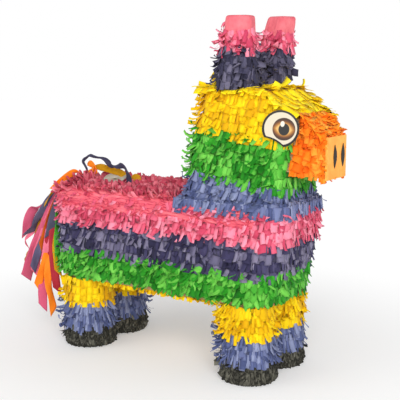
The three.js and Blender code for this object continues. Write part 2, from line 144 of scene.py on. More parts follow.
def remap(tree, value, start=(0.0, 1.0), end=(0.0, 1.0), curve="LINEAR"):
    """A value brought from one range to another."""
    values = {"Value": value, "From Min": start[0], "From Max": start[1], "To Min": end[0], "To Max": end[1]}
    return add_node(tree, "MapRange", values, interpolation_type=curve).outputs["Result"]


def bump(tree, height, strength, distance, over=None):
    """A relief made from a height, on top of another relief where one is given."""
    values = {"Height": height, "Strength": strength, "Distance": distance}
    if over is not None:
        values["Normal"] = over
    return add_node(tree, "Bump", values).outputs["Normal"]


def ramp(tree, shade, stops):
    """The colour that a shade takes between the stops."""
    node = add_node(tree, "ValToRGB", {"Fac": shade})
    while len(node.color_ramp.elements) < len(stops):
        node.color_ramp.elements.new(0.5)
    for element, (position, rgb) in zip(node.color_ramp.elements, stops):
        element.position = position
        element.color = linear(rgb)
    return node.outputs["Color"]


def scaled_coordinates(tree, scale):
    here = add_node(tree, "TexCoord").outputs["Object"]
    return add_node(tree, "Mapping", {"Vector": here, "Scale": scale}).outputs["Vector"]


def noise(tree, here, scale, detail=3.0, roughness=0.6, distortion=0.0):
    values = {"Vector": here, "Scale": scale, "Detail": detail, "Roughness": roughness,
              "Distortion": distortion}
    return add_node(tree, "TexNoise", values).outputs["Fac"]


def crepe(name, dark, middle, light):
    """Matt crinkled crepe: each cut tab has its own shade, with fine crinkles along it."""
    material, tree, shader = new_material(name)
    tab = add_node(tree, "NewGeometry").outputs["Random Per Island"]
    here = scaled_coordinates(tree, (1.0, 1.0, 0.12))
    broad = calculate(tree, "MULTIPLY", noise(tree, here, 55.0, 2.0), 0.36)
    shade = calculate(tree, "MULTIPLY_ADD", tab, 0.7, broad)
    fine = noise(tree, here, 900.0, 3.0, 0.7)
    feed(tree, shader, {
        "Base Color": ramp(tree, shade, [(0.08, dark), (0.45, middle), (0.92, light)]),
        "Normal": bump(tree, fine, 0.5, 0.0006),
        "Roughness": remap(tree, fine, end=(0.58, 0.85)),
        "Sheen Weight": 0.03,
        "Sheen Roughness": 0.5,
        "Specular IOR Level": 0.18,
    })
    return material


def crumpled(name, dark, middle, light, grain, depth):
    """Uncut crepe creased into sharp folds, with painted shade in the valleys; grain stretches the folds."""
    material, tree, shader = new_material(name)
    here = scaled_coordinates(tree, grain)
    broad = noise(tree, here, 105.0, 4.0, 0.55, 1.1)
    ridge = calculate(tree, "ABSOLUTE", calculate(tree, "SUBTRACT", broad, 0.5))
    folds = bump(tree, ridge, 1.0, depth)
    fine = noise(tree, here, 700.0, 3.0, 0.7)
    feed(tree, shader, {
        # Colour from the fold height: painted shade in the valleys, the light tone elsewhere.
        "Base Color": ramp(tree, ridge, [(0.0, dark), (0.035, middle), (0.2, light)]),
        "Normal": bump(tree, fine, 0.5, 0.0006, folds),
        "Roughness": 0.72,
        "Specular IOR Level": 0.2,
    })
    return material


def cardboard():
    material, tree, shader = new_material("kraft_cardboard")
    here = scaled_coordinates(tree, (1.0, 1.0, 0.25))
    fibres = noise(tree, here, 420.0, 6.0, 0.65)
    stops = [(0.25, (146, 110, 72)), (0.55, (178, 140, 98)), (0.8, (196, 160, 118))]
    flutes = add_node(tree, "TexWave", {"Vector": here, "Scale": 48.0, "Distortion": 0.4}).outputs["Color"]
    feed(tree, shader, {
        "Base Color": ramp(tree, fibres, stops),
        "Normal": bump(tree, flutes, 0.25, 0.0004),
        "Roughness": 0.88,
    })
    return material


def smooth_paper(name, dark, light, roughness, grain=0.2):
    material, tree, shader = new_material(name)
    here = scaled_coordinates(tree, (1.0, 1.0, 1.0))
    feed(tree, shader, {
        "Base Color": ramp(tree, noise(tree, here, 60.0, 4.0), [(0.3, dark), (0.7, light)]),
        "Normal": bump(tree, noise(tree, here, 700.0, 4.0), grain, 0.0005),
        "Roughness": roughness,
    })
    return material


TONES = {
    "pink": ((184, 50, 84), (228, 94, 122), (250, 156, 178)),
    "purple": ((28, 26, 48), (64, 60, 94), (142, 136, 160)),
    "green": ((10, 104, 16), (48, 152, 34), (122, 208, 82)),
    "yellow": ((212, 152, 0), (240, 194, 0), (252, 220, 16)),
    "orange": ((228, 84, 4), (252, 122, 12), (255, 162, 54)),
    "blue": ((60, 70, 110), (96, 106, 150), (148, 156, 190)),
    "black": ((20, 20, 17), (50, 49, 42), (116, 114, 102)),
    "red": ((120, 14, 34), (160, 30, 48), (196, 64, 72)),
    "mustard": ((166, 110, 2), (198, 140, 8), (222, 168, 26)),
    "dusty": ((160, 42, 68), (212, 80, 102), (240, 134, 148)),
    "rose": ((164, 46, 88), (200, 76, 112), (224, 114, 138)),
    "rust": ((132, 50, 4), (180, 74, 8), (216, 104, 20)),
    "slate": ((34, 32, 50), (64, 62, 86), (112, 108, 130)),
    "salmon": ((186, 44, 72), (228, 94, 112), (248, 130, 140)),
    "lemon": ((230, 176, 0), (252, 220, 4), (255, 236, 40)),
    "apricot": ((242, 104, 8), (255, 144, 20), (255, 180, 66)),
}


# A tone darkened by a share, used for painted shade
def shade_darkened(tone, share):
    return tuple(round(c * share) for c in tone)


CREPES = {name: crepe(f"crepe_{name}", *tones) for name, tones in TONES.items()}
# Creased papers, with painted shade in the valleys of their folds.
CREPES["salmon"] = crumpled("crumpled_salmon", *TONES["salmon"], (0.16, 0.6, 1.0), 0.0034)
CREPES["hoof"] = crumpled("crumpled_black", *TONES["black"], (1.0, 1.0, 0.5), 0.004)
# The glued paper behind the tabs takes 0.72 of each tone: painted shade in the gaps between the tabs.
SHADED_BACKINGS = {name: crepe(f"glued_{name}", *(shade_darkened(tone, 0.72) for tone in tones))
            for name, tones in TONES.items()}
KRAFT = cardboard()
NOSE_PAPER = smooth_paper("nose_paper", (250, 158, 56), (255, 182, 80), 0.7)
CAP_PAPER = smooth_paper("ear_cap_paper", (212, 88, 102), (230, 120, 128), 0.8, 0.4)
BLACK_PAPER = smooth_paper("black_paper", (22, 20, 18), (40, 36, 32), 0.7)
LABEL_PAPER = smooth_paper("blank_label", (176, 168, 152), (198, 192, 178), 0.5)


# Meshes

def add_mesh(name, vertices, faces, material, smooth=True):
    """A mesh piece from arrays of points and of quads."""
    mesh = bpy.data.meshes.new(name)
    mesh.vertices.add(len(vertices))
    mesh.vertices.foreach_set("co", (vertices * MM).astype(np.float32).ravel())
    mesh.loops.add(faces.size)
    mesh.loops.foreach_set("vertex_index", faces.astype(np.int32).ravel())
    mesh.polygons.add(len(faces))
    mesh.polygons.foreach_set("loop_start", np.arange(0, faces.size, 4, dtype=np.int32))
    mesh.polygons.foreach_set("use_smooth", np.full(len(faces), smooth))
    mesh.update(calc_edges=True)
    mesh.validate()
    mesh.materials.append(material)
    piece = bpy.data.objects.new(name, mesh)
    bpy.context.collection.objects.link(piece)
    return piece


def strip_faces(rows, columns=3):
    """Quads of one closed strip of paper: rows of points along it, columns across, two skins."""
    def at(row, column, skin):
        return (row * columns + column) * 2 + skin
    faces = []
    for r in range(rows - 1):
        for c in range(columns - 1):
            faces.append([at(r, c, 0), at(r, c + 1, 0), at(r + 1, c + 1, 0), at(r + 1, c, 0)])
            faces.append([at(r, c, 1), at(r + 1, c, 1), at(r + 1, c + 1, 1), at(r, c + 1, 1)])
        last = columns - 1
        faces.append([at(r, last, 0), at(r, last, 1), at(r + 1, last, 1), at(r + 1, last, 0)])
        faces.append([at(r, 0, 0), at(r + 1, 0, 0), at(r + 1, 0, 1), at(r, 0, 1)])
    end = rows - 1
    for c in range(columns - 1):
        faces.append([at(end, c, 0), at(end, c + 1, 0), at(end, c + 1, 1), at(end, c, 1)])
        faces.append([at(0, c, 0), at(0, c, 1), at(0, c + 1, 1), at(0, c + 1, 0)])
    return np.array(faces)


def closed_rings(count, around):
    """Quads joining rings of points into a closed tube of section."""
    index = np.arange(around)
    ahead = (index + 1) % around
    parts = []
    for ring in range(count):
        a, b = ring * around, (ring + 1) % count * around
        parts.append(np.column_stack([a + index, a + ahead, b + ahead, b + index]))
    return np.concatenate(parts)


def place(piece, node=None, body="carcass"):
    """Put a visible piece on its body, and hide the CAD node that it stands for."""
    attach(piece, body)
    if node:
        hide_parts(node)


def points_at(x, y, z):
    """Points from three coordinates, any of which may be one number for all of them."""
    return np.stack(np.broadcast_arrays(x, y, z), axis=-1).astype(float)


def repeated(way, count):
    return np.tile(np.array(way, float), (count, 1))


def cut_tabs(root, down, normal, shape, segments=4):
    """Strips of paper, one for each root point, from the arrays that tab_shapes makes."""
    count = len(root)
    side = unit(np.cross(down, normal))
    cos, sin = np.cos(shape["yaw"])[:, None], np.sin(shape["yaw"])[:, None]
    along, across = cos * down + sin * side, cos * side - sin * down
    step = (shape["length"] / segments)[:, None]
    centre = root.copy()
    columns = np.array([-1.0, 0.0, 1.0])
    points = np.empty((count, segments + 1, 3, 2, 3))
    for row in range(segments + 1):
        share = row / segments
        fold = np.clip((share - shape["fold_at"]) * 5, 0, 1) * shape["fold"]
        angle = (shape["lift"] + shape["curl"] * share ** 1.3 + fold)[:, None]
        ahead = np.cos(angle) * along + np.sin(angle) * normal
        face = np.cos(angle) * normal - np.sin(angle) * along
        turn = (shape["twist"] * share)[:, None]
        right = np.cos(turn) * across + np.sin(turn) * face
        out = np.cos(turn) * face - np.sin(turn) * across
        if row:
            centre = centre + ahead * step
        half = shape["width"] / 2 * (1 - shape["taper"] * share) * (1 - shape["leaf"] * share ** 4)
        half = half[:, None]
        for c, column in enumerate(columns):
            bow = (shape["cup"] * shape["width"] * (1 - column * column))[:, None]
            middle = centre + right * half * column + out * bow
            points[:, row, c, 0] = middle + out * TAB_THICKNESS / 2
            points[:, row, c, 1] = middle - out * TAB_THICKNESS / 2
    per_tab = (segments + 1) * 6
    template = strip_faces(segments + 1)
    faces = (template[None] + (np.arange(count) * per_tab)[:, None, None]).reshape(-1, 4)
    return points.reshape(-1, 3), faces


STYLE = {
    "width": 5.4, "pitch": 5.6, "length": 17.0, "lift": 0.22, "lift_spread": 0.12,
    "curl": 0.2, "curl_spread": 0.45, "yaw_spread": 0.12, "twist_spread": 0.25,
    "wild": 0.08, "joined": 0.12, "cup": 0.05, "hem": 2.0, "leaf": 0.0, "fold": 0.35,
    "loose_rear": False, "loose_lift": 0.22, "front": 0.45,
}


def tab_shapes(rng, count, style, calm=None, loose=None):
    """Random shapes of the tabs in one row: calm ones lie flat and loose ones often curl."""
    width = style["width"] * rng.uniform(0.75, 1.12, count)
    joined = rng.random(count) < style["joined"]
    width[joined] *= rng.uniform(1.5, 2.3, joined.sum())
    shape = {
        "width": width,
        "length": style["length"] * rng.uniform(0.82, 1.08, count),
        "lift": rng.normal(style["lift"], style["lift_spread"], count),
        "curl": rng.normal(style["curl"], style["curl_spread"], count),
        "yaw": rng.normal(0.0, style["yaw_spread"], count),
        "twist": rng.normal(0.0, style["twist_spread"], count),
        "taper": rng.uniform(-0.12, 0.2, count),
        "cup": style["cup"] * rng.normal(1.0, 1.0, count),
        "leaf": style["leaf"] * rng.uniform(0.6, 1.2, count),
        "fold": rng.normal(0.0, style["fold"], count),
        "fold_at": rng.uniform(0.2, 0.8, count),
    }
    chance = style["wild"] if loose is None else np.where(loose, LOOSE_WILD, style["wild"])
    wild = rng.random(count) < chance
    if loose is not None:
        shape["length"][loose] *= 1.2
        shape["lift"][loose] += style["loose_lift"]
    shape["curl"][wild] += rng.uniform(0.6, 3.0, wild.sum())
    shape["yaw"][wild] += rng.normal(0.0, 0.5, wild.sum())
    shape["twist"][wild] += rng.normal(0.0, 1.0, wild.sum())
    shape["width"][wild] *= 0.75
    shape["lift"] = np.maximum(shape["lift"], 0.03)
    if calm is not None:
        for key in ("curl", "yaw", "twist", "cup", "fold"):
            shape[key][calm] *= 0.1
        shape["lift"][calm] = 0.02
    return shape


def pick(arrays, keep):
    return {key: value[keep] for key, value in arrays.items()}


# Surfaces that the fringe is wound on. Each takes shares round its outline, a height and an inset.

def rounded_outline(x0, x1, half, radius, arc=8):
    middles = [(x1 - radius, half - radius), (x0 + radius, half - radius),
               (x0 + radius, radius - half), (x1 - radius, radius - half)]
    parts = []
    for quarter, (x, y) in enumerate(middles):
        angles = np.linspace(quarter, quarter + 1, arc + 1) * math.pi / 2
        parts.append(np.column_stack([x + radius * np.cos(angles), y + radius * np.sin(angles)]))
    return np.concatenate(parts)


def along_outline(outline, shares):
    closed = np.vstack([outline, outline[:1]])
    lengths = np.r_[0.0, np.cumsum(np.linalg.norm(np.diff(closed, axis=0), axis=1))]
    at = (np.asarray(shares) % 1.0) * lengths[-1]
    return np.column_stack([np.interp(at, lengths, closed[:, 0]), np.interp(at, lengths, closed[:, 1])])


def with_height(flat, z):
    return np.column_stack([flat, np.full(len(flat), float(z))])


def body_surface(shares, z, inset):
    """The body's side, whose upper edge is rounded off over the chest."""
    chest = green_high[0] + (z - green_high[2]) * CHEST_LEAN - max(0.0, z - CHEST_ROUND_Z) * 0.2
    outline = rounded_outline(BODY_REAR + inset, chest - inset, BODY_HALF - inset, BODY_CORNER - inset)
    return with_height(along_outline(outline, shares), z)


def neck_place(length, y, h):
    cos, sin = math.cos(NECK_TILT), math.sin(NECK_TILT)
    return np.column_stack([ORIGIN + NECK_FOOT[0] + length * cos + h * sin, y,
                            NECK_FOOT[1] - length * sin + h * cos])


def neck_surface(shares, h, inset):
    nape = max(0.0, (h - NAPE_BEND) * NAPE_LEAN)
    outline = rounded_outline(nape + inset, NECK_LENGTH - inset, neck_high[1] - inset, NECK_CORNER - inset)
    flat = along_outline(outline, shares)
    return neck_place(flat[:, 0], flat[:, 1], np.full(len(flat), float(h)))


def leg_surface(name):
    low, high = leg_boxes[name]
    x, y, radius = (low[0] + high[0]) / 2, (low[1] + high[1]) / 2, (high[0] - low[0]) / 2

    def surface(shares, z, inset):
        angles = np.asarray(shares) * 2 * math.pi
        r = radius - inset
        return with_height(np.column_stack([x + r * np.cos(angles), y + r * np.sin(angles)]), z)
    return surface


def ear_point(place_on_ear, side):
    return np.array([ORIGIN + place_on_ear[0], side * place_on_ear[1]])


def ear_surface(side, growth):
    """The tapering, turned tube of one ear, grown outwards on every side."""
    tube_low, tube_high = box(f"ear_tube_{'right' if side < 0 else 'left'}")
    foot, tip = ear_point(EAR_FOOT, side), ear_point(EAR_TIP, side)
    cos, sin = math.cos(-side * EAR_TURN), math.sin(-side * EAR_TURN)

    def surface(shares, z, inset):
        up = (z - tube_low[2]) / (tube_high[2] - tube_low[2])
        length, width = (foot_size + (tip_size - foot_size) * up + 2 * (growth - inset)
                         for foot_size, tip_size in (EAR_LENGTHS, EAR_WIDTHS))
        outline = rounded_outline(-length / 2, length / 2, width / 2, EAR_CORNER + growth - inset)
        flat = along_outline(outline, shares)
        turned = np.column_stack([flat[:, 0] * cos - flat[:, 1] * sin, flat[:, 0] * sin + flat[:, 1] * cos])
        centre = foot + (tip - foot) * up
        return with_height(turned + centre, z)
    return surface


def girth(surface, v, inset):
    points = surface(np.linspace(0, 1, 121), v, inset)
    return np.linalg.norm(np.diff(points, axis=0), axis=1).sum()


def row_places(surface, v, shares, inset):
    """Points on a surface at one height, with the way down and the way out at each."""
    here = surface(shares, v, inset)
    ahead = unit(surface(shares + 0.004, v, inset) - surface(shares - 0.004, v, inset))
    down = surface(shares, v - 14.0, inset) - here
    down = unit(down - ahead * (down * ahead).sum(axis=1, keepdims=True))
    return here, down, unit(np.cross(ahead, -down))


def row_tabs(surface, v, inset, rng, style, keep=None, calm=None):
    """Two overlapping layers of tabs hanging from one line round a surface."""
    parts = []
    for layer in range(2):
        count = max(3, int(girth(surface, v, inset) / style["pitch"]))
        shares = (np.arange(count) + 0.5 * layer + rng.uniform(-0.22, 0.22, count)) / count
        root, down, normal = row_places(surface, v, shares, inset + 0.8 * (1 - layer))
        quiet = None if calm is None else calm(root)
        loose = None
        if style["loose_rear"]:
            loose = normal[:, 0] < -0.5
        shape = tab_shapes(rng, count, style, quiet, loose)
        front = normal[:, 0] > 0.3
        for key in ("lift", "curl", "fold"):
            shape[key][front] *= style["front"]
        if layer == 0:
            shape["lift"] *= 0.45
            shape["curl"] *= 0.5
        wave = np.sin(shares * 2 * math.pi * 7 + v) + np.sin(shares * 2 * math.pi * 17 + 2 * v)
        shape["length"] += style["hem"] * wave * 0.5
        root = root - down * rng.normal(0.0, 1.2, count)[:, None]
        chosen = rng.random(count) > 0.03
        if keep is not None:
            chosen &= keep(root, down, shape["length"])
        parts.append((root[chosen], down[chosen], normal[chosen], pick(shape, chosen)))
    root, down, normal = (np.concatenate([p[i] for p in parts]) for i in range(3))
    shape = {key: np.concatenate([p[3][key] for p in parts]) for key in parts[0][3]}
    return root, down, normal, shape


def tabs_piece(name, parts, colour, node=None, body="carcass", segments=4):
    """One piece out of several sets of tabs."""
    vertices, faces, start = [], [], 0
    for root, down, normal, shape in parts:
        if not len(root):
            continue
        v, f = cut_tabs(root, down, normal, shape, segments)
        vertices.append(v)
        faces.append(f + start)
        start += len(v)
    vertices = np.concatenate(vertices)
    stray = np.maximum(np.abs(vertices[:, 1]) - PRESSED_FROM, 0.0)
    vertices[:, 1] -= np.sign(vertices[:, 1]) * (stray - 5.0 * np.tanh(stray / 5.0))
    place(add_mesh(name, vertices, np.concatenate(faces), CREPES[colour]), node, body)


def sleeve_piece(node, surface, heights, inset, colour, trim=None):
    """A thin closed sleeve of crepe glued round the card, behind the cut tabs, in darkened tones as painted
    shade.
    """
    around = 96
    shares = np.arange(around) / around
    rings = [surface(shares, v, inset) for v in heights]
    rings += [surface(shares, v, inset + GLUED_THICKNESS) for v in heights[::-1]]
    if trim is not None:
        rings = [trim(ring) for ring in rings]
    faces = closed_rings(len(rings), around)
    piece = add_mesh(f"{node}_backing", np.concatenate(rings), faces, SHADED_BACKINGS[colour])
    place(piece, node)


def hems(low, high, spacing):
    """Lower edges of the rows in a band, from the lowest up."""
    count = max(1, round((high - low) / spacing))
    return [low + i * (high - low) / count for i in range(count)]


def wound_band(node, surface, low, high, depth, colour, seed, style, spacing=14.0, keep=None, calm=None,
               trim=None):
    """A band of rows wound round a surface in place of a CAD node, with the glued paper behind them."""
    style = {**STYLE, **style}
    rng = np.random.default_rng(seed)
    sleeve_piece(node, surface, [low + 7.0, high], depth - 1.0, colour, trim)
    batches = [[]]
    for hem in hems(low, high, spacing):
        batches[-1].append(row_tabs(surface, hem + style["length"] * 0.94, depth - 2.2, rng, style, keep,
                                    calm))
        if sum(len(row[0]) for row in batches[-1]) > TABS_PER_PIECE:
            batches.append([])
    for index, rows in enumerate(filter(None, batches), 1):
        tabs_piece(f"{node}_rows_{index}", rows, colour, node)


# Body

def make_body():
    wound_band("fringe_body_green", body_surface, green_low[2] + 2.5, purple_low[2] + 6, BODY_DEPTH,
               "green", 11,
               {"width": 8.5, "pitch": 6.6, "leaf": 0.75, "yaw_spread": 0.42, "lift": 0.26, "fold": 0.6,
                "curl_spread": 0.6, "joined": 0.15, "hem": 3.0, "length": 18.0}, spacing=13.0)
    wound_band("fringe_body_purple", body_surface, purple_low[2] - 1, pink_low[2] + 6, BODY_DEPTH,
               "purple", 12,
               {"width": 7.6, "pitch": 8.2, "joined": 0.28, "lift": 0.2, "curl": 0.05, "curl_spread": 0.4,
                "yaw_spread": 0.1, "fold": 0.5, "wild": 0.06, "length": 17.0}, spacing=14.5)
    wound_band("fringe_body_pink", body_surface, pink_low[2] - 2, pink_high[2] - 6, BODY_DEPTH, "pink", 13,
               {"width": 7.4, "pitch": 7.6, "curl_spread": 0.6, "wild": 0.12, "fold": 0.6, "length": 19.0,
                "joined": 0.15, "hem": 3.0}, spacing=15.0)


def belly_fringe():
    low, high = box("fringe_belly_yellow")
    rng = np.random.default_rng(21)
    style = {**STYLE, "length": 8.5, "lift": 0.7, "lift_spread": 0.3, "wild": 0.1}
    parts = []
    for x in np.arange(low[0] + 4, high[0] - 4, 14.0):
        count = int((high[1] - low[1]) / 5.6)
        y = low[1] + (np.arange(count) + rng.uniform(0.2, 0.8, count)) * 5.6
        parts.append((points_at(x, y, high[2]), repeated((1, 0, 0), count), repeated((0, 0, -1), count),
                      tab_shapes(rng, count, style)))
    for side in (-1, 1):
        count = int((high[0] - low[0]) / 5.0)
        x = low[0] + (np.arange(count) + rng.uniform(0.1, 0.9, count)) * 5.0
        parts.append((points_at(x, side * (high[1] - 3), high[2]), repeated((0, 0, -1), count),
                      repeated((0, side, 0), count), tab_shapes(rng, count, {**style, "lift": 0.1})))
    tabs_piece("fringe_belly_rows", parts, "yellow", "fringe_belly_yellow")


# Legs

LEG_STYLES = {
    "yellow_rear": {"width": 9.5, "pitch": 9.8, "length": 16.5, "lift": 0.16, "lift_spread": 0.07,
                    "wild": 0.03,
                    "curl": 0.1, "curl_spread": 0.25, "yaw_spread": 0.06, "joined": 0.1, "hem": 1.5,
                    "fold": 0.3,
                    "loose_rear": True, "loose_lift": 0.1},
    "yellow_front": {"width": 6.4, "pitch": 6.6, "length": 18.0, "lift": 0.22, "wild": 0.1,
                     "curl_spread": 0.5,
                     "joined": 0.25, "hem": 3.0, "loose_rear": True, "loose_lift": 0.9, "front": 0.8},
    "blue": {"width": 4.6, "pitch": 4.8, "length": 22.0, "lift": 0.12, "lift_spread": 0.08, "wild": 0.1,
             "curl_spread": 0.35, "yaw_spread": 0.08, "joined": 0.3, "hem": 4.0, "front": 0.8,
             "loose_rear": True,
             "loose_lift": 0.22},
    "black": {"width": 6.5, "pitch": 9.0, "length": 15.0, "lift": 0.14, "lift_spread": 0.12, "wild": 0.1,
              "curl": -0.1, "joined": 0.3, "hem": 2.0, "loose_rear": True, "loose_lift": 0.2},
}


def hoof_wrap(name, surface, low, high, seed):
    """Uncut black crepe crumpled round the foot of a leg."""
    rng = np.random.default_rng(seed)
    around = 160
    shares = np.arange(around) / around
    heights = np.concatenate([[low], np.linspace(low + 0.6, high, 16)])
    relief = np.zeros((len(heights), around))
    for _ in range(16):
        turns, slope = rng.integers(7, 46), rng.uniform(-0.16, 0.16)
        phase = slope * heights[:, None] * 2 + rng.uniform(0, 6.3)
        wave = np.sin(2 * math.pi * turns * shares[None] + phase)
        relief += rng.uniform(0.25, 0.8) * (1 - np.abs(wave) * 2)
    rings = [surface(shares, z, -0.8) for z in heights]
    normal = unit(rings[0] - surface(shares, low, 5.0))
    gather = np.interp(heights, [low, low + 1.5, low + 6, high - 6, high], [-3.0, -0.8, 0.0, 0.0, -3.0])
    outer = [ring + normal * (row + g)[:, None] for ring, row, g in zip(rings, relief, gather)]
    inner = [ring - normal * 7.0 for ring in rings[::-1]]
    faces = closed_rings(len(outer) + len(inner), around)
    piece = add_mesh(f"{name}_wrap", np.concatenate(outer + inner), faces, CREPES["hoof"])
    place(piece, name)


def make_legs():
    for index, name in enumerate(LEG_NAMES):
        surface = leg_surface(name)
        for row, colour in enumerate(("black", "blue", "yellow")):
            node = f"fringe_leg_{colour}_{name}"
            low, high = box(node)
            seed = 100 + 10 * index + row
            kind = f"yellow_{name.split('_')[0]}" if colour == "yellow" else colour
            style = LEG_STYLES[kind]
            bottom, top = low[2], high[2] + (0 if colour == "yellow" else 5)
            if colour == "black":
                hoof_wrap(node, surface, 0.3, high[2] - 1, seed + 5)
                bottom = low[2] + 9
            wound_band(node, surface, bottom, top, 7.0, colour, seed, style, spacing=14.0 if row else 11.0)


# Neck, head and muzzle

def roof_z(x):
    return np.minimum(CROWN_Z, CROWN_Z - FOREHEAD_SLOPE * (x - BROW))


MUZZLE_LOW, MUZZLE_TOP = (corner[2] for corner in box("fringe_muzzle_orange"))
FACE_FOOT = neck_place(np.array([NECK_LENGTH]), np.zeros(1), np.zeros(1))[0]


def face_x(z):
    return FACE_FOOT[0] + (z - FACE_FOOT[2]) * math.tan(NECK_TILT)


def below_roof(points):
    """Points above the roof of the head, brought down to it along the neck."""
    above = np.maximum(points[:, 2] - roof_z(points[:, 0]) + 9.0, 0.0)
    slope = np.where(points[:, 0] > BROW, FOREHEAD_SLOPE, 0.0)
    axis = np.array([math.sin(NECK_TILT), 0.0, math.cos(NECK_TILT)])
    return points - axis * (above / (axis[2] + slope * axis[0]))[:, None]


def clear_of_muzzle(root, down, length):
    mid = root + down * length[:, None] * 0.6
    half = np.interp(mid[:, 2], [MUZZLE_LOW, MUZZLE_TOP], [53.0, 40.0])
    in_muzzle = (mid[:, 0] > face_x(mid[:, 2]) - 14) & (np.abs(mid[:, 1]) < half)
    in_muzzle &= (mid[:, 2] > MUZZLE_LOW - 2) & (mid[:, 2] < MUZZLE_TOP)
    return ~in_muzzle & (root[:, 2] < roof_z(root[:, 0]) - 5)


def eye_middle(side, distance):
    """A point on the middle axis of an eye, at a distance from the centre of the head's rounded corner."""
    length = NECK_LENGTH - NECK_CORNER + distance * math.cos(EYE_ANGLE)
    y = side * (neck_high[1] - NECK_CORNER + distance * math.sin(EYE_ANGLE))
    return neck_place(np.array([length]), np.array([y]), np.array([EYE_HEIGHT]))[0]


def eye_axes(side):
    """Towards the nose, up and out, for one eye."""
    origin = neck_place(np.zeros(1), np.zeros(1), np.zeros(1))[0]
    def turned(length, y, h):
        return neck_place(np.array([length]), np.array([y]), np.array([h]))[0] - origin
    nose = turned(math.sin(EYE_ANGLE), -side * math.cos(EYE_ANGLE), 0.0)
    out = turned(math.cos(EYE_ANGLE), side * math.sin(EYE_ANGLE), 0.0)
    return nose, turned(0.0, 0.0, 1.0), out


def under_eye(root):
    calm = np.zeros(len(root), bool)
    for side in (-1, 1):
        nose, up, out = eye_axes(side)
        offset = root - eye_middle(side, NECK_CORNER)
        u, v, w = offset @ nose, offset @ up, offset @ out
        calm |= (np.hypot(u, v - 8) < EYE_RADIUS + 3) & (w > -22) & (w < 8)
    return calm


def make_neck():
    blue = {"width": 6.8, "pitch": 6.6, "length": 20.0, "lift": 0.2, "hem": 3.0, "joined": 0.3,
            "yaw_spread": 0.16}
    wound_band("fringe_neck_blue", neck_surface, 2.0, 42.0, NECK_DEPTH, "blue", 31, blue, spacing=13.0)
    shoulder_skirt()
    green = {"width": 7.2, "pitch": 6.8, "leaf": 0.3, "wild": 0.1, "hem": 3.0, "yaw_spread": 0.2, "fold": 0.5,
             "joined": 0.2, "loose_rear": True, "loose_lift": 0.4}
    wound_band("fringe_neck_green", neck_surface, 34.0, 116.0, NECK_DEPTH, "green", 32, green,
               keep=clear_of_muzzle, calm=under_eye)
    head = {"width": 6.8, "pitch": 6.6, "length": 18.0, "wild": 0.05, "joined": 0.35, "lift": 0.15,
            "lift_spread": 0.06, "curl": 0.08, "curl_spread": 0.25, "yaw_spread": 0.07, "fold": 0.25,
            "loose_rear": True}
    wound_band("fringe_head_yellow", neck_surface, 106.0, 184.0, NECK_DEPTH, "yellow", 33, head,
               keep=clear_of_muzzle, calm=under_eye, trim=below_roof)


def shoulder_skirt():
    """Blue tabs that spread from the foot of the neck and fall over the shoulders and the chest."""
    rng = np.random.default_rng(34)
    spread = {**STYLE, "width": 5.8, "pitch": 5.8, "length": 22.0, "lift": 0.6, "lift_spread": 0.15,
              "curl": -0.6,
              "curl_spread": 0.3, "joined": 0.12, "hem": 4.0, "wild": 0.03}

    def beside_neck(root, down, length):
        return root[:, 0] > ORIGIN + NECK_FOOT[0] + 4
    parts = [row_tabs(neck_surface, 10.0, 4.0, rng, spread, beside_neck),
             row_tabs(neck_surface, 17.0, 3.0, rng, spread, beside_neck)]
    fall = {**spread, "length": 20.0, "lift": 0.1, "lift_spread": 0.1, "curl": 0.05, "wild": 0.05}
    parts.append(row_tabs(body_surface, 281.0, 2.0, rng, fall, beside_neck))
    parts.append(row_tabs(body_surface, 284.0, 8.0, rng, {**fall, "lift": 0.9, "curl": -1.0}, beside_neck))
    tabs_piece("fringe_neck_blue_skirt", parts, "blue", "fringe_neck_blue")


def laid_rows(rng, lines, down, normal, half_width, style, pitch=5.2, clear=None):
    """Rows of long strands lying on a flat, each row starting from a point on the middle plane."""
    parts = []
    for x, z in lines:
        count = int(2 * half_width / pitch)
        y = -half_width + (np.arange(count) + rng.uniform(0.1, 0.9, count)) * pitch
        root = points_at(x + rng.normal(0, 2.0, count), y, z)
        keep = np.ones(count, bool) if clear is None else clear(root)
        shape = tab_shapes(rng, count, style)
        parts.append((root[keep], repeated(down, count)[keep], repeated(normal, count)[keep],
                      pick(shape, keep)))
    return parts


def clear_of_ears(root):
    keep = np.ones(len(root), bool)
    for side in (-1, 1):
        turn = -side * EAR_TURN
        offset = root[:, :2] - ear_point(EAR_FOOT, side)
        u = offset[:, 0] * math.cos(turn) + offset[:, 1] * math.sin(turn)
        v = -offset[:, 0] * math.sin(turn) + offset[:, 1] * math.cos(turn)
        keep &= ~((np.abs(u) < 31) & (np.abs(v) < 17))
    return keep


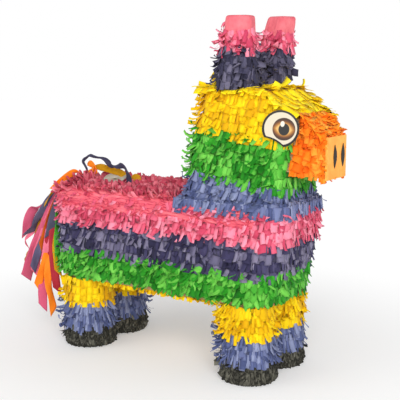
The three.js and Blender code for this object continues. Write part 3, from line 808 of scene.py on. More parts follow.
def head_top():
    rng = np.random.default_rng(41)
    strands = {**STYLE, "width": 9.6, "length": 27.0, "lift": 0.06, "lift_spread": 0.035, "curl": -0.05,
               "curl_spread": 0.1, "yaw_spread": 0.22, "wild": 0.03, "joined": 0.4, "fold": 0.12,
               "twist_spread": 0.1}
    lines = [(x, CROWN_Z - 7.0) for x in np.arange(ORIGIN + 84, BROW - 8, 11.0)]
    parts = laid_rows(rng, lines, (1, 0, 0), (0, 0, 1), 64.0, strands, clear=clear_of_ears)
    slope = unit(np.array([1.0, 0.0, -FOREHEAD_SLOPE]))
    out = unit(np.array([FOREHEAD_SLOPE, 0.0, 1.0]))
    strands["length"] = 30.0
    lines = [(x, roof_z(x) - 9.0) for x in np.arange(BROW - 14, face_x(MUZZLE_TOP) - 22, 8.0)]
    parts += laid_rows(rng, lines, slope, out, 60.0, strands)
    for side in (-1, 1):
        edge = {**strands, "width": 7.6, "length": 20.0, "lift": 0.2, "curl": -0.5}
        x = ORIGIN + NECK_FOOT[0] + 40 + np.arange(26) * 5.6
        x = x[x < face_x(MUZZLE_TOP) - 16]
        root = points_at(x, side * 60.0, roof_z(x) - 7.0)
        down = repeated(unit(np.array([0.25, side, -0.3])), len(x))
        shape = tab_shapes(rng, len(x), edge)
        nose, up, _ = eye_axes(side)
        tip = root + down * 16 - eye_middle(side, NECK_CORNER)
        clear = np.hypot(tip @ nose, tip @ up) > EYE_RADIUS + 2
        parts.append((root[clear], down[clear], repeated(UP, len(x))[clear], pick(shape, clear)))
    x = np.arange(face_x(MUZZLE_TOP) - 34, face_x(MUZZLE_TOP) + 3, 3.4)
    root = points_at(x, 52.0 + rng.normal(0, 2, len(x)), roof_z(x) - 8.0)
    parts.append((root, repeated(unit(np.array([0.7, 0.7, -0.25])), len(x)), repeated(UP, len(x)),
                  tab_shapes(rng, len(x), {**strands, "length": 17.0, "lift": 0.3, "curl": -0.2})))
    rear = {**strands, "length": 20.0, "lift": 0.2, "curl": -0.6}
    y = np.arange(-56.0, 57.0, 5.6)
    parts.append((points_at(ORIGIN + 84.0, y, CROWN_Z - 6.0), repeated((-1, 0, 0), len(y)),
                  repeated(UP, len(y)), tab_shapes(rng, len(y), rear)))
    tabs_piece("fringe_head_top", parts, "lemon", "fringe_head_yellow", segments=5)
    head_top_backing()


def head_top_backing():
    """The glued paper under the strands on top of the head."""
    crown, front = CROWN_Z - 8.5, face_x(MUZZLE_TOP)
    line = [(ORIGIN + 72, crown, 50.0), (ORIGIN + 92, crown, 62.0), (BROW - 8, crown, 62.0),
            (front - 24, MUZZLE_TOP + 8, 60.0), (front - 6, MUZZLE_TOP - 5, 44.0)]
    vertices = []
    for x, z, half in line:
        for y in np.linspace(-half, half, 3):
            vertices += [[x, y, z], [x, y, z - 0.5]]
    piece = add_mesh("fringe_head_top_backing", np.array(vertices), strip_faces(len(line)), CREPES["yellow"],
                     smooth=False)
    place(piece, "fringe_head_yellow")


def muzzle_side(share, rise, side, inset=0.0):
    """A point on a side of the muzzle: share goes from the head to the nose, rise from its lower edge up."""
    root_x = face_x(MUZZLE_LOW + rise * (MUZZLE_TOP - MUZZLE_LOW))
    x = root_x + (nose_low[0] - root_x) * share
    lower, upper = MUZZLE_HALVES
    half = (lower + (upper - lower) * rise) * (1 - share) + nose_high[1] * share
    low = MUZZLE_LOW + (nose_low[2] - MUZZLE_LOW) * share
    high = MUZZLE_TOP + (nose_high[2] - MUZZLE_TOP) * share
    return np.stack([x, side * (half - inset), low + (high - low) * rise], axis=-1)


def make_muzzle():
    rng = np.random.default_rng(51)
    petals = {**STYLE, "width": 9.5, "length": 15.0, "lift": 0.2, "lift_spread": 0.14, "curl_spread": 0.4,
              "yaw_spread": 0.35, "wild": 0.05, "joined": 0.15, "cup": 0.08, "fold": 0.4}
    parts, top = [], []
    for side in (-1, 1):
        for rise in np.arange(0.17, 1.02, 0.118):
            count = 8
            share = (np.arange(count) + rng.uniform(0.1, 0.9, count)) / count * 0.93
            root = muzzle_side(share, rise, side, 4.0)
            below = muzzle_side(share, rise - 0.02, side, 4.0)
            ahead = muzzle_side(share + 0.02, rise, side, 4.0)
            normal = unit(np.cross(ahead - root, root - below))
            normal *= np.sign(normal[:, 1] * side)[:, None]
            shape = tab_shapes(rng, count, petals)
            if rise < 0.2:
                shape["width"] *= 0.7
            edge = share > 0.8
            shape["lift"][edge] *= 0.4
            shape["yaw"][edge] = 0.0
            parts.append((root, unit(below - root), normal, shape))
    top_normal = unit(np.array([MUZZLE_SLOPE, 0.0, 1.0]))
    top_down = unit(np.array([1.0, 0.0, -MUZZLE_SLOPE]))
    strands = {**petals, "width": 9.2, "length": 18.0, "lift": 0.07, "lift_spread": 0.04, "yaw_spread": 0.22,
               "wild": 0.03, "joined": 0.35, "curl": 0.0, "curl_spread": 0.2}
    for share in np.arange(-0.1, 0.74, 0.11):
        edge = muzzle_side(np.array([share]), 1.0, 1, 2.0)[0]
        top += laid_rows(rng, [(edge[0], edge[2] - 3.5)], top_down, top_normal, edge[1], strands, pitch=5.0)
    parts += nose_border(rng, petals)
    tabs_piece("fringe_muzzle_rows", parts, "orange", "fringe_muzzle_orange")
    tabs_piece("fringe_muzzle_top", top, "apricot", "fringe_muzzle_orange")
    muzzle_backing()


def nose_border(rng, petals):
    """Short orange tabs round the edges of the nose paper, which soften its outline."""
    half, low, high = nose_high[1], nose_low[2], nose_high[2]
    x = nose_low[0] - 6
    parts = []
    for side in (-1, 1):
        z = np.arange(low + 2, high, 5.5) + rng.uniform(-1, 1)
        shape = tab_shapes(rng, len(z), {**petals, "length": 9.0, "width": 6.5, "lift": 0.2})
        parts.append((points_at(x, side * (half - 1.0), z), repeated(unit(np.array([1.0, 0.0, -0.25])),
                                                                     len(z)),
                      repeated((0, side, 0), len(z)), shape))
    for z, out_z in ((high - 1, 1.0), (low + 1, -1.0)):
        y = np.arange(-half + 2, half, 5.5)
        shape = tab_shapes(rng, len(y), {**petals, "length": 9.5, "width": 6.0, "lift": 0.1})
        parts.append((points_at(x, y, z), repeated((1, 0, 0), len(y)), repeated((0, 0, out_z), len(y)),
                      shape))
    return parts


def muzzle_backing():
    """The glued paper round the muzzle: four corners at each of four places, outside and inside."""
    corners = ((-1, 0.0), (1, 0.0), (1, 1.0), (-1, 1.0))
    shares = np.linspace(-0.02, 0.97, 4)
    rings = []
    for inset, places in ((4.6, shares), (5.4, shares[::-1])):
        for share in places:
            for side, rise in corners:
                point = muzzle_side(np.array([share]), rise, side, inset)[0]
                point[2] += inset if rise == 0 else -inset * 1.28
                rings.append(point)
    piece = add_mesh("fringe_muzzle_backing", np.array(rings), closed_rings(8, len(corners)),
                     CREPES["orange"],
                     smooth=False)
    place(piece, "fringe_muzzle_orange")


# Ears

# Pleats pressed into an ear's cap: number round it, slant, phase and depth
PLEATS = (
    ((5, 0.35, 0.4, 0.45), (9, -0.25, 1.9, 0.3), (14, 0.5, 3.1, 0.2), (23, -0.4, 0.7, 0.14)),
    ((4, -0.3, 1.2, 0.5), (11, 0.3, 0.3, 0.28), (15, -0.45, 2.2, 0.2), (21, 0.35, 4.0, 0.14)),
)


def make_ears():
    slate = {"width": 7.4, "pitch": 7.0, "wild": 0.16, "lift": 0.2, "lift_spread": 0.14, "curl_spread": 0.5,
             "yaw_spread": 0.22, "hem": 2.5, "length": 19.0, "joined": 0.2, "fold": 0.6}
    rose = {**slate, "width": 6.6, "length": 18.0, "joined": 0.25, "lift": 0.24, "wild": 0.3,
            "loose_rear": True}
    for index, (side, name) in enumerate(((-1, "right"), (1, "left"))):
        purple, pink = f"fringe_ear_purple_{name}", f"fringe_ear_pink_{name}"
        wound_band(purple, ear_surface(side, 7.0), box(purple)[0][2] - 13, box(purple)[1][2] + 5, 7.0,
                   "slate",
                   61 + index, slate, spacing=13.0)
        wound_band(pink, ear_surface(side, 5.5), box(pink)[0][2] - 3, box(pink)[1][2] + 3, 5.5, "pink",
                   71 + index, rose, spacing=12.0)
        ear_cap(side, name, 81 + index)


def ear_cap(side, name, seed):
    """The smooth end of an ear: one sheet of paper pulled over it, with soft dents and pleats."""
    surface = ear_surface(side, 3.2)
    low, high = box(f"ear_cap_{name}")
    if side > 0:
        high = high + UP * 2.5
    rng = np.random.default_rng(seed)
    around = 140
    shares = np.arange(around) / around
    profile = [(low[2] - 3, 0.6), (low[2] + 3, 0.2), (low[2] + 9, 0.0), (low[2] + 15, 0.0), (low[2] + 21,
                                                                                             0.0),
               (high[2] - 5, 0.0), (high[2] - 2.2, 0.6), (high[2] - 0.9, 2.4), (high[2] - 0.6, 6.0),
               (high[2] - 0.9, 11.0)]
    rings = [surface(shares, z, inset) for z, inset in profile]
    for k, ring in enumerate(rings[:8]):
        out = unit(ring - surface(shares, profile[k][0], profile[k][1] + 2.0))
        relief = np.zeros(around)
        for turns, tilt, phase, size in PLEATS[seed % 2]:
            wave = np.sin(2 * math.pi * turns * shares + tilt * k + phase)
            relief += size * (1 - 2 * np.abs(wave))
        ring += out * (relief + rng.normal(0, 0.05, around))[:, None]
    middle = rings[-1].mean(axis=0)
    rings.append(middle + (rings[-1] - middle) * 0.01 + UP * 0.2)
    inner = [surface(shares, z - 0.6, inset + 0.6) for z, inset in profile]
    inner.append(middle + (inner[-1] - middle) * 0.01 - UP * 0.4)
    cap = add_mesh(f"ear_cap_paper_{name}", np.concatenate(rings + inner[::-1]),
                   closed_rings(len(rings) * 2, around), CAP_PAPER)
    place(cap, f"ear_cap_{name}")


# Back

def make_back():
    rng = np.random.default_rng(91)
    style = {**STYLE, "width": 13.0, "length": 19.0, "lift": 0.36, "lift_spread": 0.18, "curl": 0.55,
             "curl_spread": 0.6, "yaw_spread": 0.5, "wild": 0.06, "joined": 0.1, "cup": 0.14, "fold": 0.4,
             "twist_spread": 0.2, "leaf": 0.5}
    pieces = {"carcass": [], "flap": []}
    for x in np.arange(back_low[0] + 2, back_high[0] + 4, 9.0):
        count = int(158 / 7.4)
        y = -79 + (np.arange(count) + rng.uniform(0.1, 0.9, count)) * 7.4
        root = points_at(x + rng.normal(0, 2.5, count), y, back_low[2] + 0.6)
        shape = tab_shapes(rng, count, style)
        outward = np.clip(y / 50, -1, 1)
        down = unit(points_at(-0.6, outward * 0.9 + 1e-3, 0.0))
        normal = repeated(UP, count)
        on_flap = (root[:, 0] > flap_low[0]) & (root[:, 0] < flap_high[0])
        on_flap &= (root[:, 1] > flap_low[1]) & (root[:, 1] < flap_high[1])
        shape["length"][on_flap] *= 0.85
        near_label = over_label(root, 9.0)
        shape["lift"][near_label] *= 0.3
        shape["curl"][near_label] = 0.0
        behind = np.maximum(back_low[0] + 36 - root[:, 0], 0)
        corner = np.hypot(behind, np.maximum(np.abs(y) - 40, 0)) > 40
        keep = ~over_label(root, 1.0) & ~corner
        for body, chosen in (("flap", on_flap & keep), ("carcass", ~on_flap & keep)):
            pieces[body].append((root[chosen], down[chosen], normal[chosen], pick(shape, chosen)))
    pieces["carcass"].append(rump_tuft(rng, style))
    back_backing()
    tabs_piece("fringe_back_tufts", pieces["carcass"], "dusty", "fringe_back_pink")
    tabs_piece("fringe_flap_tufts", pieces["flap"], "dusty", "fringe_flap_pink", "flap")


def rump_tuft(rng, style):
    """Tabs standing up behind the foot of the hanging loop."""
    count = 30
    x = BODY_REAR + rng.uniform(24, 46, count)
    y = rng.uniform(-42, 6, count)
    down = unit(points_at(rng.normal(-0.7, 0.4, count), rng.normal(-0.5, 0.5, count), 0.0))
    shape = tab_shapes(rng, count, {**style, "length": 27.0, "width": 10.0, "lift": 1.15, "curl": -0.3})
    return points_at(x, y, back_low[2] + 1.0), down, repeated(UP, count), shape


def back_backing():
    """The glued paper under the tufts, darkened as painted shade: a sheet with an opening for the filling
    flap, and one on the flap.
    """
    around = 120
    shares = np.arange(around) / around
    low, high = flap_low, flap_high
    middle_y = (low[1] + high[1]) / 2
    outer = along_outline(rounded_outline(back_low[0] + 4, back_high[0] - 2, 76.0, 40.0), shares)
    hole = along_outline(rounded_outline(low[0] - 1, high[0] + 1, (high[1] - low[1]) / 2 + 1, 2.0), shares)
    hole[:, 1] += middle_y
    lid = along_outline(rounded_outline(low[0] + 1, high[0] - 1, (high[1] - low[1]) / 2 - 1, 2.0), shares)
    lid[:, 1] += middle_y
    centre = np.tile([(low[0] + high[0]) / 2, middle_y], (around, 1))
    inner = centre + (lid - centre) * 0.05
    for name, wide, narrow, body, node in (("carcass", outer, hole, "carcass", "fringe_back_pink"),
                                           ("flap", lid, inner, "flap", "fringe_flap_pink")):
        top, bottom = back_low[2] + 0.7, back_low[2] + 0.2
        rings = [with_height(wide, top), with_height(wide, bottom), with_height(narrow, bottom),
                 with_height(narrow, top)]
        sheet = add_mesh(f"glued_back_paper_{name}", np.concatenate(rings), closed_rings(4, around),
                         SHADED_BACKINGS["pink"], smooth=False)
        place(sheet, node, body)


def over_label(root, margin):
    centre = (label_low + label_high) / 2
    radii = (label_high - label_low) / 2 + margin
    return np.hypot((root[:, 0] - centre[0]) / radii[0], (root[:, 1] - centre[1]) / radii[1]) < 1


def make_label():
    """A blank oval card glued on by its near edge, so that it leans on the tufts behind it."""
    centre = (label_low + label_high) / 2 + np.array([-5.0, 0.0, 0.0])
    radii = (label_high - label_low) / 2
    around = 64
    angles = np.arange(around) * 2 * math.pi / around
    rings = []
    profile = ((1.0, 0.0), (0.985, 0.25), (0.6, 0.1), (0.004, 0.0), (0.004, -0.7), (0.6, -0.7), (1.0, -0.7))
    for scale, drop in profile:
        x = radii[0] * scale * np.cos(angles)
        y = radii[1] * scale * np.sin(angles)
        rise = (y + radii[1]) * math.tan(math.radians(24)) + 1.2 * (x / radii[0]) ** 2
        rings.append(np.column_stack([centre[0] + x, centre[1] + y - 4, 279.5 + rise + drop]))
    piece = add_mesh("blank_oval_label", np.concatenate(rings), closed_rings(len(rings), around), LABEL_PAPER)
    place(piece, "back_label")


# Knots that gather the long strips: distance along, height on the strip, size and number of folds
GATHERS = ((38, 20, 9, 9), (88, 12, 12, 11), (132, 25, 10, 8), (190, 15, 12, 12), (232, 9, 9, 9),
           (270, 22, 12, 11), (322, 12, 10, 9), (366, 20, 12, 10), (410, 12, 9, 9))


def creases(rng, along, across):
    """Sharp folds running along a strip, and gathers where they meet."""
    height = np.zeros(np.broadcast(along, across).shape)
    bend = 3.0 * np.sin(along / 31 + 1.0) + 2.0 * np.sin(along / 13)
    for _ in range(14):
        long, short = rng.choice([-1, 1]) * rng.uniform(45, 240), rng.uniform(6, 17)
        wave = np.sin(2 * math.pi * (along / long + (across + bend) / short) / 2 + rng.uniform(0, 6.3))
        depth = rng.uniform(0.2, 0.6) * (1 - 2 * np.abs(wave))
        height += depth * (0.6 + 0.4 * np.sin(along / rng.uniform(12, 40)))
    for x, y, size, folds in GATHERS:
        u, v = (along - x) / 1.6, across - y
        reach = np.exp(-(u * u + v * v) / (size * size))
        height += reach * (1.6 * np.cos(folds * np.arctan2(v, u) + x) - 2.4)
    return height


def edge_strips():
    """Uncut strips of crepe wrapped over the long edges of the back, with loose bits stuck to them."""
    profile = [(4.5, 247.0), (0.5, 248.5), (-1.2, 254.0), (-1.4, 263.0), (-0.4, 270.0), (2.4, 275.5),
               (7.0, 279.0), (12.0, 280.0), (17.0, 279.0), (18.5, 275.5)]
    fine = np.linspace(0, len(profile) - 1, 46)
    insets = np.interp(fine, range(len(profile)), [p[0] for p in profile])
    heights = np.interp(fine, range(len(profile)), [p[1] for p in profile])
    lengths = np.r_[0.0, np.cumsum(np.hypot(np.diff(insets), np.diff(heights)))]
    for side, name in ((-1, "right"), (1, "left")):
        rng = np.random.default_rng(95 + side)
        shares = np.linspace(0, 1, 1441)[:-1]
        ring = body_surface(shares, 258.0, 0.0)
        chosen = shares[(ring[:, 1] * side > BODY_HALF - 24) & (ring[:, 0] < ORIGIN + 196)]
        along = (chosen - chosen[0]) * girth(body_surface, 258.0, 0.0)
        relief = creases(rng, along[:, None], lengths[None, :])
        end = np.minimum(1.0, np.minimum(along, along[-1] - along) / 8.0)[:, None]
        ragged = 1.6 * np.sin(along / 5.1) + 1.4 * np.sin(along / 2.3 + 1) + 2.0 * np.sin(along / 17)
        grid = np.empty((len(chosen), len(fine), 2, 3))
        for column, (inset, z) in enumerate(zip(insets, heights)):
            hem = ragged * max(0.0, 1 - column / 10)
            base = body_surface(chosen, z, inset)
            out = unit(base - body_surface(chosen, z, inset + 4.0))
            lifted = relief[:, column, None] * (0.5 if column in (0, len(fine) - 1) else 1.0)
            base = base + out * lifted - out * (1 - end) * 6 + UP * (hem + lifted[:, 0] * 0.5)[:, None]
            grid[:, column, 0] = base
            grid[:, column, 1] = base - out * 0.5 - UP * 0.2
        piece = add_mesh(f"crepe_edge_strip_{name}", grid.reshape(-1, 3),
                         strip_faces(len(chosen), len(fine)), CREPES["salmon"])
        place(piece)
        stray_bits(name, side, rng)


def stray_bits(name, side, rng):
    """Tabs that overlap the upper edge of a long strip, and a few scattered over it."""
    style = {**STYLE, "width": 7.0, "length": 13.0, "lift": 0.16, "lift_spread": 0.16, "curl": 0.2,
             "curl_spread": 0.7, "yaw_spread": 0.6, "wild": 0.15, "fold": 0.8, "cup": 0.1}
    parts = []
    for z, inset, step, length in ((281.0, 19.0, 7.0, 13.0), (272.0, -1.8, 70.0, 9.0), (264.0, -2.6,
                                                                                        90.0, 8.0),
                                   (253.0, -2.6, 46.0, 9.0)):
        x = np.arange(BODY_REAR + 24, ORIGIN + 40, step)
        on_top = z > 275
        rear = BODY_REAR + (30 if on_top else BODY_CORNER)
        x = np.maximum(x + rng.uniform(-0.45, 0.45, len(x)) * step, rear)
        root = points_at(x, side * (BODY_HALF - inset), z)
        down = np.array([-0.3, side, -0.25]) if on_top else np.array([0.0, 0.0, -1.0])
        normal = np.array([0.0, side * 0.3, 1.0]) if on_top else np.array([0.0, float(side), 0.0])
        shape = tab_shapes(rng, len(x), {**style, "length": length})
        parts.append((root, repeated(unit(down), len(x)), repeated(unit(normal), len(x)), shape))
    tabs_piece(f"crepe_edge_bits_{name}", parts, "salmon")


# Eyes

def eye_outline():
    lid = [math.radians(214), math.radians(286)]
    angles = np.linspace(lid[1], lid[0] + 2 * math.pi, 72)
    rim = np.column_stack([EYE_RADIUS * np.cos(angles), EYE_RADIUS * np.sin(angles)])
    start, end = rim[-1], rim[0]
    share = np.linspace(0, 1, 14)[1:-1, None]
    chord = start + (end - start) * share
    bow = np.array([-(end - start)[1], (end - start)[0]]) / np.linalg.norm(end - start)
    return np.vstack([rim, chord + bow * 2.3 * np.sin(math.pi * share)])


def ring_mask(tree, distance, radius, soft):
    return remap(tree, distance, ((radius + soft) * MM, (radius - soft) * MM))


def eye_distance(tree, here, centre, stretch=(1.0, 1.0)):
    """Distance from a point of the printed eye, in metres."""
    offset = here
    for operation, vector in (("SUBTRACT", (centre[0] * MM, centre[1] * MM, 0.0)),
                              ("MULTIPLY", (*stretch, 0.0))):
        offset = add_node(tree, "VectorMath", {0: offset, 1: vector}, operation=operation).outputs[0]
    return add_node(tree, "VectorMath", {0: offset}, operation="LENGTH").outputs["Value"]


def over(tree, below, colour, mask):
    return add_node(tree, "Mix", {"Factor": mask, "A": below, "B": colour},
                    data_type="RGBA").outputs["Result"]


def eye_material(name, mirror):
    """The print of one eye: an iris that darkens outwards on pale card, a pupil and a glint."""
    material, tree, shader = new_material(name)
    here = add_node(tree, "TexCoord").outputs["Object"]
    glint_at = (1.9, 7.4) if mirror > 0 else (-7.5, 7.4)
    iris = eye_distance(tree, here, (4.8 * mirror, 0.0))
    tall = calculate(tree, "ABSOLUTE", add_node(tree, "SeparateXYZ", {0: here}).outputs["Y"])
    reach = calculate(tree, "MULTIPLY_ADD", tall, 21.0, calculate(tree, "DIVIDE", iris, 20.6 * MM))
    shade = ramp(tree, reach, [(0.0, (206, 166, 98)), (0.5, (214, 170, 98)), (0.64, (168, 112, 40)),
                               (0.8, (104, 58, 18)), (0.96, (58, 30, 10))])
    colour = over(tree, linear((208, 198, 176)), shade, ring_mask(tree, iris, 16.5, 0.25))
    pupil = eye_distance(tree, here, (4.9 * mirror, -0.3), (1.06, 0.95))
    colour = over(tree, colour, linear((20, 18, 14)), ring_mask(tree, pupil, 8.4, 0.3))
    glint = eye_distance(tree, here, glint_at, (1.3, 0.95))
    colour = over(tree, colour, linear((226, 218, 200)), ring_mask(tree, glint, 3.9, 0.5))
    feed(tree, shader, {"Base Color": colour, "Roughness": 0.38, "Coat Weight": 0.25, "Coat Roughness": 0.3})
    return material


def make_eyes():
    outline = eye_outline()
    centre = outline.mean(axis=0)
    black = smooth_paper("eye_outline_ink", (18, 16, 13), (24, 21, 17), 0.45, 0.05)
    for side, name in ((-1, "right"), (1, "left")):
        nose, up, out = eye_axes(side)
        axis = nose * -side
        matrix = Matrix(np.column_stack([axis, up, out]).tolist()).to_4x4()
        matrix.translation = Vector(eye_middle(side, NECK_CORNER + 0.4) * MM)
        flip = -side
        points, faces, slots = [], [], []
        inner = centre + (outline - centre) * (1 - 3.2 / EYE_RADIUS)
        levels = [(outline, 0.0), (outline, 0.7), (inner, 0.95), (inner, 0.8)]
        for ring, depth in levels:
            points += [(x * flip * MM, y * MM, depth * MM) for x, y in ring]
        count = len(outline)
        for level in range(3):
            for k in range(count):
                a, b = level * count + k, level * count + (k + 1) % count
                face = [a, b, b + count, a + count]
                faces.append(face if flip > 0 else face[::-1])
                slots.append(1)
        lid = list(range(3 * count, 4 * count))
        back = list(range(count))[::-1]
        faces.append(lid if flip > 0 else lid[::-1])
        faces.append(back if flip > 0 else back[::-1])
        slots += [0, 1]
        mesh = bpy.data.meshes.new(f"printed_eye_{name}")
        mesh.from_pydata(points, [], faces)
        mesh.materials.append(eye_material(f"printed_eye_{name}", flip))
        mesh.materials.append(black)
        mesh.polygons.foreach_set("material_index", slots)
        piece = bpy.data.objects.new(f"printed_eye_{name}", mesh)
        piece.matrix_world = matrix
        bpy.context.collection.objects.link(piece)
        place(piece, f"eye_{name}")


# Cord and streamers

LOOP_ROUTE = [
    (-208, 0, 275), (-207, 0, 288), (-208, 0, 299), (-212, -1, 307), (-214.5, -2, 312), (-211.5, -3, 316.5),
    (-205, -3, 321), (-197.5, -3, 325), (-189, -2, 323.2), (-180, -1, 322.2), (-172, 0, 321.6), (-165, 1,
                                                                                                 319),
    (-159, 1, 314.5), (-153, 0, 310), (-144, -1, 309), (-134, -2, 310), (-125, -3, 311.5), (-118.5, -3,
                                                                                            308.5),
    (-114, -3, 302), (-111.5, -2, 294), (-111, -1, 286), (-110, 0, 275),
]


def smooth_line(points, count):
    """Evenly spaced points of a smooth curve through the given ones."""
    p = np.array(points, float)
    p = np.vstack([2 * p[0] - p[1], p, 2 * p[-1] - p[-2]])
    out = []
    for i in range(1, len(p) - 2):
        for t in np.linspace(0, 1, 24, endpoint=False):
            a, b, c, d = p[i - 1:i + 3]
            out.append(0.5 * (2 * b + (c - a) * t + (2 * a - 5 * b + 4 * c - d) * t * t
                              + (3 * b - a - 3 * c + d) * t ** 3))
    out = np.array(out + [p[-2]])
    lengths = np.r_[0.0, np.cumsum(np.linalg.norm(np.diff(out, axis=0), axis=1))]
    at = np.linspace(0, lengths[-1], count)
    return np.column_stack([np.interp(at, lengths, out[:, k]) for k in range(3)]), lengths[-1]


def make_loop():
    route = [(ORIGIN + x, y, z) for x, y, z in LOOP_ROUTE]
    line, length = smooth_line(route, 150)
    tangent = unit(np.gradient(line, axis=0))
    side = unit(np.cross(tangent, np.array([0.0, 1.0, 0.0])))
    other = unit(np.cross(tangent, side))
    around = 20
    angles = np.arange(around) * 2 * math.pi / around
    share = np.linspace(0, 1, len(line))
    half = np.interp(share, [0, 0.15, 0.4, 0.5, 0.62, 0.8, 0.93, 1],
                     [2.8, 2.8, 3.0, 4.5, 4.9, 5.4, 5.1, 3.2])
    twist = share * 2 * math.pi * 2.6 + 0.4 * np.sin(share * 19)
    rings = []
    for i in range(len(line)):
        wide = half[i] * np.cos(angles)
        thin = (1.7 + 0.35 * np.sin(angles * 5 + share[i] * 40)) * np.sin(angles)
        u = wide * math.cos(twist[i]) - thin * math.sin(twist[i])
        v = wide * math.sin(twist[i]) + thin * math.cos(twist[i])
        rings.append(line[i] + side[i] * u[:, None] + other[i] * v[:, None])
    vertices = np.concatenate(rings + [line[:1], line[-1:]])
    at = np.arange(around)
    ahead = (at + 1) % around
    faces = [np.column_stack([at, ahead, around + ahead, around + at]) + ring * around
             for ring in range(len(rings) - 1)]
    first, last = len(vertices) - 2, len(vertices) - 1
    end = (len(rings) - 1) * around
    even = at[::2]
    after = (even + 2) % around
    faces.append(np.column_stack([np.full(len(even), first), after, even + 1, even]))
    faces.append(np.column_stack([np.full(len(even), last), end + even, end + even + 1, end + after]))
    piece = add_mesh("twisted_hanging_loop", vertices, np.concatenate(faces), CREPES["slate"])
    place(piece, "hanging_loop", "loop")
    tuple(np.array(route[0]) * MM)


# The streamers mostly lie flat along this direction
FLAT_WAY = np.array([0.83, 0.55, 0.0])


def ribbon(name, points, width, colour, body, rng, twists, ripple=1.0, cut=8.0, rows=52, upright=False):
    """A flat streamer of crepe along a line, narrower at its tied end, rippled, and cut off at a slant."""
    line, length = smooth_line(points, rows)
    tangent = unit(np.gradient(line, axis=0))
    if upright:
        level = unit(np.cross(tangent, np.array([0.0, 1.0, 0.0])))
    else:
        level = unit(FLAT_WAY - tangent * (tangent @ FLAT_WAY)[:, None])
    face = unit(np.cross(level, tangent))
    share = np.linspace(0, 1, rows)
    angle = np.interp(share, np.linspace(0, 1, len(twists)), twists)
    angle = angle + 0.22 * np.sin(share * rng.uniform(5, 9) + rng.uniform(0, 6))
    across = level * np.cos(angle)[:, None] + face * np.sin(angle)[:, None]
    out = unit(np.cross(across, tangent))
    half = width / 2 * np.interp(share, [0, 0.08, 0.2, 1], [0.4, 0.7, 1.0, 0.95])
    phase = rng.uniform(0, 6.3, 3)
    lean = rng.choice([-1.0, 1.0]) * cut
    grid = np.empty((rows, 7, 2, 3))
    for c, column in enumerate(np.linspace(-1, 1, 7)):
        wave = ripple * (0.9 * np.sin(share * length / 8 + phase[0] + column * 1.6)
                         + 0.8 * np.sin(share * length / 19 + phase[1] - column * 2.2))
        wave = wave * np.minimum(1, share * 5)
        middle = line + across * (half * column)[:, None] + out * wave[:, None]
        middle = middle + tangent * (lean * column * share ** 6)[:, None]
        grid[:, c, 0] = middle + out * 0.15
        grid[:, c, 1] = middle - out * 0.15
    piece = add_mesh(name, grid.reshape(-1, 3), strip_faces(rows, 7), CREPES[colour])
    place(piece, body=body)
    return piece


